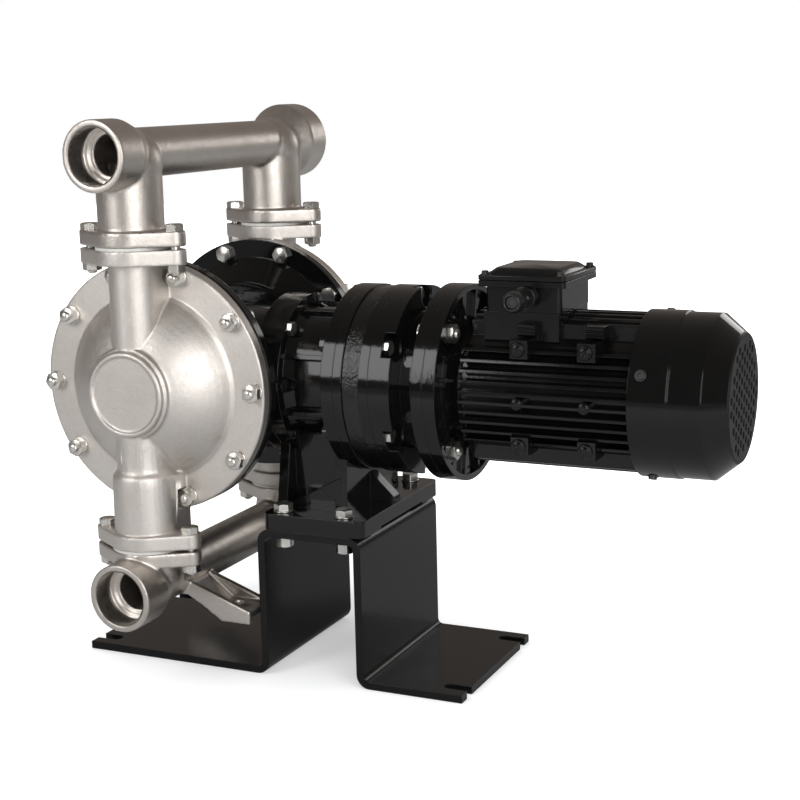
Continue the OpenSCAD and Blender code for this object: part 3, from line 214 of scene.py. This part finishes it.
def gloss_paint(name, level, rough, edge, peel, specular, cast=0.0):
    # Thick black paint with orange peel, over a smooth or a rough casting
    m = Mat(name, IOR=1.5, Specular_IOR_Level=specular)
    blotch = m.noise(14, 4, 0.6)
    m.edges(edge)
    m.bump(m.noise(260, 2, 0.5), peel, 0.0005)
    if cast:
        m.bump(m.noise(190, 4, 0.7), cast, 0.0020)
        m.bump(m.cells(330), cast * 0.6, 0.0008)
    return m.done(black_tone(m, blotch, level), m.span(blotch, *rough))


def cover_paint(name, level, rough, edge, peel, specular, end_x):
    # Gloss paint on the fan cover, duller on its perforated end
    m = Mat(name, IOR=1.5, Specular_IOR_Level=specular)
    m.edges(edge)
    m.bump(m.noise(260, 2, 0.5), peel, 0.0005)
    blotch = m.noise(14, 4, 0.6)
    split = m.feed(m.add("ShaderNodeSeparateXYZ"), Vector=m.coord)
    at_end = m.span(split.outputs["X"], 0.0, 0.42, end_x - 0.0022, end_x - 0.0012)
    return m.done(black_tone(m, blotch, level), m.calc("ADD", m.span(blotch, *rough), at_end))


def turned_metal(name, color, rough):
    # Turned or rolled metal: fine rings across X and faint spots
    m = Mat(name, Metallic=1.0)
    m.edges(0.0004)
    rings = m.noise(700, 2, 0.5, m.stretched((1, 0.05, 0.05)))
    m.bump(rings, 0.08, 0.0003)
    spots = m.noise(40, 4, 0.6)
    dark = tuple(c * 0.72 for c in color)
    return m.done(m.mix(m.span(spots, 0, 1), dark, color), m.span(spots, *rough))


def soft_plain(name, dark, light, rough):
    # Plastic, rubber and other plain surfaces with a fine mottle
    m = Mat(name)
    m.edges(0.0006)
    mottle = m.noise(120, 4, 0.6)
    m.bump(m.noise(600, 2, 0.5), 0.15, 0.0003)
    return m.done(m.mix(m.span(mottle, 0, 1), dark, light), m.span(mottle, *rough))


# Paints: level, roughness, edge radius, orange peel, specular level.
# Cast metals: dark, light, roughness, edge radius. Turned metals: colour, roughness.
# Plain surfaces: dark, light, roughness.
COVER_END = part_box("fan_cover")[1][0]
FINISHES = {
    "base_black": (gloss_paint, 0.003, (0.14, 0.22), 0.0014, 0.12, 0.22),
    "gloss_black": (gloss_paint, 0.003, (0.07, 0.13), 0.0014, 0.12, 0.30),
    "cast_black": (gloss_paint, 0.003, (0.08, 0.14), 0.0016, 0.15, 0.40, 0.42),
    "motor_black": (gloss_paint, 0.003, (0.10, 0.18), 0.0010, 0.12, 0.30),
    "cover_black": (cover_paint, 0.003, (0.06, 0.11), 0.0016, 0.04, 0.28, COVER_END),
    "painted_nut": (gloss_paint, 0.004, (0.12, 0.20), 0.0006, 0.10, 0.40),
    "lid_black": (gloss_paint, 0.004, (0.10, 0.16), 0.0008, 0.05, 0.30),
    "socket_bright": (cast_metal, (0.60, 0.57, 0.54), (0.70, 0.68, 0.65), (0.26, 0.36)),
    "cast_stainless": (cast_metal, (0.52, 0.485, 0.45), (0.66, 0.63, 0.595), (0.44, 0.54), 0.0016),
    "manifold_stainless": (cast_metal, (0.46, 0.42, 0.38), (0.58, 0.545, 0.51), (0.32, 0.46), 0.0016),
    "stainless_fastener": (turned_metal, (0.70, 0.68, 0.64), (0.22, 0.34)),
    "zinc_fastener": (turned_metal, (0.62, 0.62, 0.58), (0.25, 0.40)),
    "black_screw": (soft_plain, (0.010, 0.010, 0.010), (0.022, 0.021, 0.020), (0.28, 0.42)),
    "bearing_steel": (turned_metal, (0.72, 0.72, 0.74), (0.10, 0.20)),
    "machined_steel": (turned_metal, (0.56, 0.56, 0.58), (0.18, 0.32)),
    "lamination": (turned_metal, (0.30, 0.30, 0.32), (0.35, 0.5)),
    "winding": (soft_plain, (0.30, 0.10, 0.03), (0.50, 0.20, 0.06), (0.2, 0.35)),
    "bronze": (turned_metal, (0.72, 0.48, 0.22), (0.22, 0.36)),
    # The PTFE seats are greyed below their own white: painted shade of the gaps between the flanges
    "ptfe": (soft_plain, (0.50, 0.49, 0.46), (0.60, 0.59, 0.56), (0.4, 0.55)),
    "black_rubber": (soft_plain, (0.012, 0.012, 0.012), (0.022, 0.022, 0.022), (0.5, 0.7)),
    "black_plastic": (soft_plain, (0.006, 0.006, 0.006), (0.012, 0.012, 0.012), (0.18, 0.30)),
}
MATS = {name: make(name, *values) for name, (make, *values) in FINISHES.items()}

# Nodes whose finish differs from the others of their slot
NODE_MATS = {"ring_gear_housing": "cast_black", "fan_cover": "cover_black"}
for name, obj in nodes.items():
    for slot in obj.material_slots:
        slot.material = MATS[NODE_MATS.get(name, slot_of[name])]

# Mesh helpers


def add_piece(name, mesh, mat):
    obj = bpy.data.objects.new(name, mesh)
    bpy.context.scene.collection.objects.link(obj)
    mesh.materials.clear()
    mesh.materials.append(MATS[mat])
    return obj


def finish_mesh(name, bm, mat, slot, *replaced):
    # Makes the piece that stands for the named nodes and rides on the pump
    bmesh.ops.remove_doubles(bm, verts=bm.verts, dist=1e-7)
    bmesh.ops.recalc_face_normals(bm, faces=bm.faces)
    mesh = bpy.data.meshes.new(name)
    bm.to_mesh(mesh)
    bm.free()
    mesh.shade_smooth()
    mesh.set_sharp_from_angle(angle=SHARP_ANGLE)
    piece = add_piece(name, mesh, mat)
    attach(piece, "pump")
    if replaced:
        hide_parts(*replaced)


def circle(bm, place, r, z, sides, shape=None):
    # A ring of vertices about local Z; shape may change radius and height by angle
    ring = []
    for i in range(sides):
        a = FULL_TURN * i / sides
        rr, zz = shape(r, z, a) if shape else (r, z)
        ring.append(bm.verts.new(place @ Vector((rr * math.cos(a), rr * math.sin(a), zz))))
    return ring


def strip(bm, rings):
    # Joins each ring of vertices to the next with quads
    for lo, hi in zip(rings, rings[1:]):
        for i in range(len(lo)):
            j = (i + 1) % len(lo)
            bm.faces.new((lo[i], lo[j], hi[j], hi[i]))


def closed_strip(bm, rings):
    strip(bm, rings)
    bm.faces.new(list(reversed(rings[0])))
    bm.faces.new(rings[-1])


def spin(bm, profile, place, sides=48, shape=None):
    # Turns a profile of (radius, height) points about local Z
    closed_strip(bm, [circle(bm, place, r, z, sides, shape) for r, z in profile])


def shank(bm, place, r, z0, z1, sides=20):
    spin(bm, [(r, z0), (r, z1)], place, sides)


def hex_prism(bm, place, corner_r, height, turn=0.0):
    # A hexagon whose corners are cut by a thirty degree chamfer on its outer face
    sector, chamfer_start, slope = math.pi / 3, 0.93, 0.577
    flat = corner_r * math.cos(sector / 2)

    def shape(r, z, a):
        edge = flat / math.cos((a + turn + sector / 2) % sector - sector / 2)
        if r < 1:
            return flat * r, z
        if z > 0:
            return edge, height - (edge - flat * chamfer_start) * slope
        return edge, z

    spin(bm, [(1.0, 0.0), (1.0, height), (chamfer_start, height)], place, 48, shape)


def threaded_end(bm, place, r, z0, z1):
    # A stud end with its thread as shallow rings and a rounded tip
    pitch, tip = 0.0016, 0.001
    profile = [(r * 0.98, z0)]
    z = z0
    while z + pitch < z1 - tip:
        profile += [(r * 0.90, z + pitch * 0.5), (r, z + pitch)]
        z += pitch
    profile += [(r * 0.86, z1 - 0.0006), (r * 0.6, z1)]
    spin(bm, profile, place, 24)


def washer_ring(bm, place, r, z0, z1):
    c = (z1 - z0) * 0.25
    spin(bm, [(r - c, z0), (r, z0 + c), (r, z1 - c), (r - c, z1)], place, 40)


def fastener(bm, place, r, head_h, washer=0.0, stud=0.0, turn=0.0):
    # A head or nut standing on local Z = 0, with a washer under it and a stud end through it
    washer_span, corner_span, stud_root = 2.0, 1.96, 0.001
    if washer:
        washer_ring(bm, place, washer_span * r, 0, washer)
    hex_prism(bm, place @ lifted(washer), corner_span * r, head_h, turn)
    if stud:
        threaded_end(bm, place, r, washer + head_h - stud_root, washer + head_h + stud)


def round_screw(bm, place, r, h):
    # Low cylinder head with a socket in it
    spin(bm, [(r, -0.002), (r, h * 0.8), (r * 0.88, h), (r * 0.56, h), (r * 0.52, h * 0.35)], place, 28)


def lifted(z):
    return Matrix.Translation((0, 0, z))


def along_x(x, y, z):
    return Matrix.Translation((x, y, z)) @ Matrix.Rotation(math.pi / 2, 4, "Y")


def along_y(x, y, z, side):
    return Matrix.Translation((x, y, z)) @ Matrix.Rotation(-side * math.pi / 2, 4, "X")


def flip(m):
    return m @ Matrix.Rotation(math.pi, 4, "X")


def on_circle(r, count, k, start=0.0):
    # Place k of count in the plane across X, counted from straight down
    a = math.radians(360 / count * k + start)
    return r * math.sin(a), AXIS_Z - r * math.cos(a)


# Fasteners, with washers, chamfered heads and threaded ends


def chamber_fasteners():
    count, circle_r, nut_y, head_y, length = 10, 0.119, 0.1205, 0.095, 0.026
    bm = bmesh.new()
    for side, k in itertools.product((-1, 1), range(count)):
        a = FULL_TURN * k / count
        x, z = circle_r * math.cos(a), AXIS_Z + circle_r * math.sin(a)
        outside = along_y(x, side * nut_y, z, side)
        fastener(bm, outside, M10, M10_NUT, washer=0.0015, stud=0.0052, turn=0.5 * k)
        fastener(bm, along_y(x, side * head_y, z, -side), M10, M10_HEAD, turn=0.3 * k)
        shank(bm, along_y(x, side * head_y, z, side), M10, 0, length)
    finish_mesh("chamber_fasteners", bm, "stainless_fastener", "stainless_fastener", "chamber_bolts")


def manifold_fasteners():
    bolt_x, bolt_y, grip = 0.05, 0.143, 0.033
    tops = (AXIS_Z + 0.162, AXIS_Z - 0.145)
    bm = bmesh.new()
    for side, i, j in itertools.product((-1, 1), (0, 1), (0, 1)):
        x, y, top = (-bolt_x, bolt_x)[i], side * bolt_y, tops[j]
        up = Matrix.Translation((x, y, top))
        down = flip(Matrix.Translation((x, y, top - grip)))
        fastener(bm, up, M10, M10_HEAD, turn=0.4 * i + 0.2 * j)
        fastener(bm, down, M10, M10_NUT, stud=0.003, turn=0.7 * i + 0.3 * j)
        shank(bm, up, M10, -0.034, 0.001)
    finish_mesh("manifold_fasteners", bm, "stainless_fastener", "stainless_fastener", "manifold_bolts")


def foot_fasteners():
    plate_top, foot, plate, nut_h = AXIS_Z - 0.148, 0.017, 0.008, 0.010
    bm = bmesh.new()
    for i, x in enumerate((0.125, 0.195)):
        for y in (-0.081, 0.081):
            up = Matrix.Translation((x, y, plate_top + foot))
            down = flip(Matrix.Translation((x, y, plate_top - plate)))
            fastener(bm, up, M10, M10_HEAD, washer=0.002, turn=0.6 * i)
            fastener(bm, down, M10, nut_h, washer=0.002, stud=0.002, turn=0.2 + 0.5 * i)
            shank(bm, up, M10, -0.026, 0.001)
    finish_mesh("foot_fasteners", bm, "zinc_fastener", "zinc_fastener", "foot_bolts")


def crankcase_fasteners():
    # The paint covers all of these but one
    count, bare, circle_r, head_x = 8, 5, 0.078, 0.126
    painted = [k for k in range(count) if k != bare]
    for name, mat, places in (
        ("crankcase_fasteners", "painted_nut", painted),
        ("crankcase_bare_bolt", "zinc_fastener", [bare]),
    ):
        bm = bmesh.new()
        for k in places:
            place = along_x(head_x, *on_circle(circle_r, count, k))
            fastener(bm, place, M8, M8_HEAD, turn=0.4 * k)
            shank(bm, place, M8, -0.027, 0)
        finish_mesh(name, bm, mat, "zinc_fastener", "crankcase_bolts")


def reducer_fasteners():
    count, circle_r, head_x, nut_x = 6, 0.088, 0.2446, 0.1805
    bm = bmesh.new()
    painted = bmesh.new()
    for k in range(count):
        y, z = on_circle(circle_r, count, k)
        fastener(bm, along_x(head_x, y, z), M8, M8_HEAD, turn=0.5 * k)
        fastener(painted, flip(along_x(nut_x, y, z)), M8, M8_NUT, stud=0.003, turn=0.8 * k)
        shank(bm, along_x(head_x, y, z), M8, -0.065, 0)
    finish_mesh("reducer_fasteners", bm, "zinc_fastener", "zinc_fastener", "reducer_bolts")
    finish_mesh("reducer_painted_nuts", painted, "painted_nut", "zinc_fastener", "reducer_bolts")


def flange_fasteners():
    count, circle_r, head_x, nut_x = 4, 0.0825, 0.2801, 0.3041
    bm = bmesh.new()
    for k in range(count):
        y, z = on_circle(circle_r, count, k, 45)
        fastener(bm, flip(along_x(head_x, y, z)), M10, M10_HEAD, turn=0.5 * k)
        fastener(bm, along_x(nut_x, y, z), M10, M10_NUT, stud=0.003, turn=0.3 + 0.8 * k)
        shank(bm, along_x(nut_x, y, z), M10, -0.025, 0)
    finish_mesh("flange_fasteners", bm, "zinc_fastener", "zinc_fastener", "flange_bolts")


chamber_fasteners()
manifold_fasteners()
foot_fasteners()
crankcase_fasteners()
reducer_fasteners()
flange_fasteners()

# Castings: the solids with their edges and inner corners rounded as a mould leaves them

SHOULDER_Z = (AXIS_Z - 0.098, AXIS_Z - 0.074)
SHOULDER_X, SHOULDER_Y, SHOULDER_ROUNDS = 0.045, 0.140, 14


def on_shoulder(co):
    inside = SHOULDER_Z[0] < co.z < SHOULDER_Z[1]
    return inside and abs(co.y) > SHOULDER_Y and abs(co.x) < SHOULDER_X


def soften_shoulder(mesh):
    # Rounds the shoulder of a chamber's lower neck further
    bm = bmesh.new()
    bm.from_mesh(mesh)
    verts = [v for v in bm.verts if on_shoulder(v.co)]
    axes = {f"use_axis_{axis}": True for axis in "xyz"}
    for _ in range(SHOULDER_ROUNDS):
        bmesh.ops.smooth_vert(bm, verts=verts, factor=0.5, **axes)
    bm.to_mesh(mesh)
    bm.free()


def casting(name, node, finish, voxel, rounds, kept, shoulder):
    # A node's solid, remeshed and smoothed, then thinned to a share of its faces
    src = nodes[node]
    mesh = src.data.copy()
    mesh.transform(src.matrix_world)
    rough = bpy.data.objects.new(name, mesh)
    bpy.context.scene.collection.objects.link(rough)
    weld = rough.modifiers.new("weld", "WELD")
    weld.merge_threshold = 1e-6
    remesh = rough.modifiers.new("remesh", "REMESH")
    remesh.mode = "VOXEL"
    remesh.voxel_size = voxel
    smooth = rough.modifiers.new("smooth", "SMOOTH")
    smooth.factor = 0.5
    smooth.iterations = rounds
    thin = rough.modifiers.new("thin", "DECIMATE")
    thin.ratio = kept
    deps = bpy.context.evaluated_depsgraph_get()
    done = bpy.data.meshes.new_from_object(rough.evaluated_get(deps), depsgraph=deps)
    bpy.data.objects.remove(rough)
    done.name = name
    if shoulder:
        soften_shoulder(done)
    done.shade_smooth()
    piece = add_piece(name, done, finish)
    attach(piece, "pump")
    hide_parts(node)


for side in ("front", "rear"):
    casting(f"{side}_chamber_casting", f"{side}_outer_chamber", "cast_stainless", 0.0010, 3, 0.3, True)
for side in ("top", "bottom"):
    casting(f"{side}_manifold_casting", f"{side}_manifold", "manifold_stainless", 0.0013, 5, 0.4, False)

# Diaphragms: each cut into sectors that span between the clamped rim and the plates on the rods

SECTORS = 10


def cut_sector(bm, mid, half):
    # Keeps what lies within half of the angle mid about the chamber's axis, with closed sides
    for side in (-1, 1):
        e = mid + side * half
        everything = list(bm.verts) + list(bm.edges) + list(bm.faces)
        outward = (-side * math.sin(e), 0, side * math.cos(e))
        cut = bmesh.ops.bisect_plane(
            bm, geom=everything, dist=1e-7, plane_co=(0, 0, AXIS_Z), plane_no=outward, clear_outer=True
        )
        rim = [g for g in cut["geom_cut"] if isinstance(g, bmesh.types.BMEdge)]
        bmesh.ops.triangle_fill(bm, edges=rim, use_beauty=True)


def bending_diaphragm(node):
    src = nodes[node]
    half = math.pi / SECTORS
    for k in range(SECTORS):
        mid = 2 * half * k
        bm = bmesh.new()
        bm.from_mesh(src.data)
        bm.transform(src.matrix_world)
        bmesh.ops.remove_doubles(bm, verts=bm.verts, dist=1e-6)
        cut_sector(bm, mid, half)
        bmesh.ops.recalc_face_normals(bm, faces=bm.faces)
        mesh = bpy.data.meshes.new(f"{node}_sector_{k}")
        bm.to_mesh(mesh)
        bm.free()
        mesh.shade_smooth()
        mesh.set_sharp_from_angle(angle=math.radians(40))
        piece = add_piece(mesh.name, mesh, slot_of[node])
        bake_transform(piece)
        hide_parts(node)


bending_diaphragm("front_diaphragm")
bending_diaphragm("rear_diaphragm")

# Terminal box lid with its screws

LID_X = (0.3311, 0.4201)
LID_HALF_Y = 0.050
LID_Z = AXIS_Z + 0.110


def rounded_rectangle(bm, mid_x, half_x, half_y, corner_r, z, points=5):
    ring = []
    for quarter, (sx, sy) in enumerate(((1, 1), (-1, 1), (-1, -1), (1, -1))):
        corner = Vector((mid_x + sx * (half_x - corner_r), sy * (half_y - corner_r), z))
        for k in range(points):
            a = math.pi / 2 * (quarter + k / (points - 1))
            ring.append(bm.verts.new(corner + Vector((math.cos(a), math.sin(a), 0)) * corner_r))
    return ring


def lid_piece():
    # A rimmed plate with a bevelled raised middle
    mid_x, half_x = sum(LID_X) / 2, (LID_X[1] - LID_X[0]) / 2
    # Each ring: inset along X, inset along Y, corner radius, height
    steps = (
        (0.0012, 0.0012, 0.004, 0.0),
        (0.0, 0.0, 0.004, 0.0010),
        (0.0, 0.0, 0.004, 0.0048),
        (0.0007, 0.0007, 0.004, 0.0055),
        (0.0060, 0.0080, 0.009, 0.0056),
        (0.0064, 0.0084, 0.009, 0.0066),
        (0.0118, 0.0138, 0.008, 0.0108),
        (0.0130, 0.0150, 0.008, 0.0114),
    )
    bm = bmesh.new()
    closed_strip(bm, [
        rounded_rectangle(bm, mid_x, half_x - inset_x, LID_HALF_Y - inset_y, corner_r, LID_Z + up)
        for inset_x, inset_y, corner_r, up in steps
    ])
    finish_mesh("terminal_lid_casting", bm, "lid_black", "motor_black", "terminal_box_lid")

    plate, inset, washer = 0.0055, 0.006, 0.0008
    bm = bmesh.new()
    for i, j in itertools.product((-1, 1), (-1, 1)):
        x, y = mid_x + i * (half_x - inset), j * (LID_HALF_Y - inset)
        at = Matrix.Translation((x, y, LID_Z + plate))
        washer_ring(bm, at, 0.0046, 0, washer)
        hex_prism(bm, at @ lifted(washer), 0.0038, 0.0030, 0.6 * i + j)
        shank(bm, at, 0.0024, -0.006, 0.001, 16)
    finish_mesh("lid_screw_heads", bm, "black_screw", "black_screw", "lid_screws")


# Motor details


def frame_bosses():
    # Bosses with a screw each, in rows of (height, distance from the axis, radius)
    rows = ((-0.046, 0.0742, 0.0074), (-0.004, 0.0785, 0.0062), (0.048, 0.0742, 0.0074))
    bm = bmesh.new()
    for x, (z, y, r), side in itertools.product((0.3801, 0.4471), rows, (-1, 1)):
        place = along_y(x, side * y, AXIS_Z + z, side)
        spin(bm, [(r, -0.016), (r, -0.0014), (r - 0.0010, 0)], place, 32)
        round_screw(bm, place, 0.0044, 0.0016)
    finish_mesh("frame_bosses", bm, "motor_black", "motor_black")


def frame_lugs():
    # Grooved cast lugs above the upper pads
    inner_y, groove_y, outer_y, half_x = -0.030, -0.0545, -0.0560, 0.0085
    bottom, top = 0.0585, 0.0705
    outline = [(inner_y, bottom), (groove_y, bottom), (outer_y, bottom + 0.0015)]
    for z in (0.0618, 0.0654):
        outline += [(outer_y, z - 0.0006), (groove_y, z), (groove_y, z + 0.0010), (outer_y, z + 0.0016)]
    outline += [(outer_y, top - 0.0013), (groove_y, top), (inner_y, top)]
    bm = bmesh.new()
    for x, side in itertools.product((0.3831, 0.4511), (-1, 1)):
        closed_strip(bm, [
            [bm.verts.new((x + dx, -side * y, AXIS_Z + z)) for y, z in outline]
            for dx in (-half_x, half_x)
        ])
    finish_mesh("frame_lugs", bm, "motor_black", "motor_black")


def cover_screws():
    count, start, x, r = 4, 68, 0.5011, 0.081
    bm = bmesh.new()
    for k in range(count):
        a = math.radians(start + 360 / count * k)
        axis = Vector((0, math.sin(a), -math.cos(a)))
        turn = axis.to_track_quat("Z", "X").to_matrix().to_4x4()
        place = Matrix.Translation(Vector((x, 0, AXIS_Z)) + axis * r) @ turn
        washer_ring(bm, place, 0.0056, -0.0006, 0.0006)
        round_screw(bm, place @ lifted(0.0006), 0.0042, 0.0024)
        shank(bm, place, 0.0023, -0.009, -0.001, 16)
    finish_mesh("cover_screw_heads", bm, "black_screw", "black_screw", "fan_cover_screws")


def gland_piece():
    # A hexagon with a domed cap, and the seal in its mouth
    x, z, base_y, mouth_y = 0.3801, AXIS_Z + 0.0947, -0.053, -0.0852
    corner_r, washer, hex_h = 0.0112, 0.0012, 0.0150
    bm = bmesh.new()
    place = along_y(x, base_y, z, -1)
    washer_ring(bm, place, corner_r, 0, washer)
    hex_prism(bm, place @ lifted(0.0022), corner_r, hex_h, 0.25)
    dome = (
        (0.0100, 0.0165), (0.0104, 0.0180), (0.0104, 0.0280), (0.0100, 0.0315), (0.0090, 0.0340),
        (0.0078, 0.0350), (0.0066, 0.0350), (0.0060, 0.0342), (0.0058, 0.0300),
    )
    spin(bm, dome, place, 40)
    finish_mesh("gland_cap", bm, "black_plastic", "black_plastic", "gland_nut")
    bm = bmesh.new()
    seal = ((0.0055, 0), (0.0054, 0.0006), (0.0034, 0.0008), (0.0030, 0.0002), (0.0028, -0.003))
    spin(bm, seal, along_y(x, mouth_y, z, -1), 32)
    finish_mesh("gland_seal", bm, "black_rubber", "black_rubber")


# Pipe threads, standing just inside the bore of each socket


def socket_threads():
    pitch, bore_r, sides = 0.0023, 0.0283, 64
    root_r, crest_r, first_y, last_y = bore_r + 0.0002, bore_r - 0.0006, 0.1790, 0.2000
    profile = []
    y = first_y
    while y < last_y:
        profile += [(root_r, y), (crest_r, y + pitch / 2)]
        y += pitch
    profile += [(root_r, y)]
    bm = bmesh.new()
    for z, side in itertools.product((AXIS_Z + 0.237, AXIS_Z - 0.203), (-1, 1)):
        place = along_y(0, 0, z, side)
        rings = [circle(bm, place, r, y, sides) for r, y in profile]
        strip(bm, rings[::-1])
    mesh = bpy.data.meshes.new("socket_threads")
    bm.to_mesh(mesh)
    bm.free()
    mesh.shade_smooth()
    piece = add_piece("socket_threads", mesh, "socket_bright")
    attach(piece, "pump")


lid_piece()
frame_bosses()
frame_lugs()
cover_screws()
gland_piece()
socket_threads()

# Floor, backdrop and light


def white_stage():
    # The floor shows the object's shadow from the lamps, plus a painted contact shadow where ambient
    # occlusion darkens its emission, and runs out into the white backdrop
    mesh = bpy.data.meshes.new("floor")
    bm = bmesh.new()
    bmesh.ops.create_grid(bm, x_segments=1, y_segments=1, size=6)
    bm.to_mesh(mesh)
    bm.free()
    floor = bpy.data.objects.new("floor", mesh)
    floor.location = (0.2, 0, -0.0006)
    bpy.context.scene.collection.objects.link(floor)
    m = Mat("floor_white", Roughness=0.9, Emission_Color=(1, 1, 1, 1))
    tone = m.ramp(m.noise(3, 3, 0.5), [(0.3, (0.55, 0.55, 0.55)), (0.7, (0.57, 0.57, 0.57))])
    path = m.add("ShaderNodeLightPath").outputs
    reach = m.add("ShaderNodeVectorMath", operation="LENGTH")
    m.link(m.coord, reach.inputs[0])
    # Painted contact shadow: ambient occlusion darkens the floor's emission around the object
    painted_shadow_ao = m.add("ShaderNodeAmbientOcclusion", {"Distance": 0.30}, samples=8)
    away = m.span(reach.outputs["Value"], 0.92, 1.6, 0.35, 0.85)
    glow_and_painted_shadow = m.calc("MULTIPLY", away, m.span(painted_shadow_ao.outputs["AO"], 0.45, 1.0, 0.30, 0.95))
    seen = m.calc("MAXIMUM", path["Is Camera Ray"], path["Is Transmission Ray"])
    seen = m.calc("MAXIMUM", seen, m.calc("MULTIPLY", path["Is Glossy Ray"], 0.1))
    m.feed(m.bsdf, Base_Color=tone, Emission_Strength=m.calc("MULTIPLY", seen, glow_and_painted_shadow))
    floor.data.materials.append(m.mat)


def studio_world():
    # White behind the object; the room that lights it and shows in it is dimmer, most in front
    world = bpy.data.worlds.new("studio")
    bpy.context.scene.world = world
    world.use_nodes = True
    tree = world.node_tree
    tree.nodes.clear()

    def mixed(*sockets):
        node = tree.nodes.new("ShaderNodeMixShader")
        for sock, value in zip(node.inputs, sockets):
            tree.links.new(value, sock)
        return node.outputs[0]

    path = add_node(tree, "ShaderNodeLightPath").outputs
    coord = add_node(tree, "ShaderNodeTexCoord")
    split = add_node(tree, "ShaderNodeSeparateXYZ")
    tree.links.new(coord.outputs["Generated"], split.inputs[0])
    values = {"From Min": -0.5, "From Max": 0.5, "To Min": 0.12, "To Max": 0.26}
    ramp = add_node(tree, "ShaderNodeMapRange", values)
    tree.links.new(split.outputs["Y"], ramp.inputs["Value"])
    seen = add_node(tree, "ShaderNodeMath", operation="MAXIMUM")
    tree.links.new(path["Is Camera Ray"], seen.inputs[0])
    tree.links.new(path["Is Transmission Ray"], seen.inputs[1])
    light = add_node(tree, "ShaderNodeBackground", {"Color": (0.95, 0.97, 1.0, 1), "Strength": 0.36})
    mirror = add_node(tree, "ShaderNodeBackground", {"Color": (1.0, 0.88, 0.80, 1)})
    tree.links.new(ramp.outputs["Result"], mirror.inputs["Strength"])
    back = add_node(tree, "ShaderNodeBackground", {"Color": (1, 1, 1, 1), "Strength": 1.0})
    room = mixed(path["Is Glossy Ray"], light.outputs[0], mirror.outputs[0])
    out = tree.nodes.new("ShaderNodeOutputWorld")
    tree.links.new(mixed(seen.outputs[0], room, back.outputs[0]), out.inputs[0])


def area(name, place, target, size, watts):
    data = bpy.data.lights.new(name, "AREA")
    data.shape = "RECTANGLE"
    data.size, data.size_y = size
    data.energy = watts
    lamp = bpy.data.objects.new(name, data)
    lamp.location = place
    lamp.rotation_euler = (Vector(target) - Vector(place)).to_track_quat("-Z", "Y").to_euler()
    bpy.context.scene.collection.objects.link(lamp)


white_stage()
studio_world()
area("key", (1.55, -1.55, 0.95), (0.0, 0, 0.3), (1.6, 1.4), 35)
area("left_softbox", (-0.62, -1.45, 1.05), (0.25, 0, 0.3), (0.62, 1.15), 14)
area("rear", (0.9, 1.9, 0.9), (0.2, 0, 0.3), (0.6, 0.6), 3)
bpy.context.scene.view_settings.view_transform = "Standard"
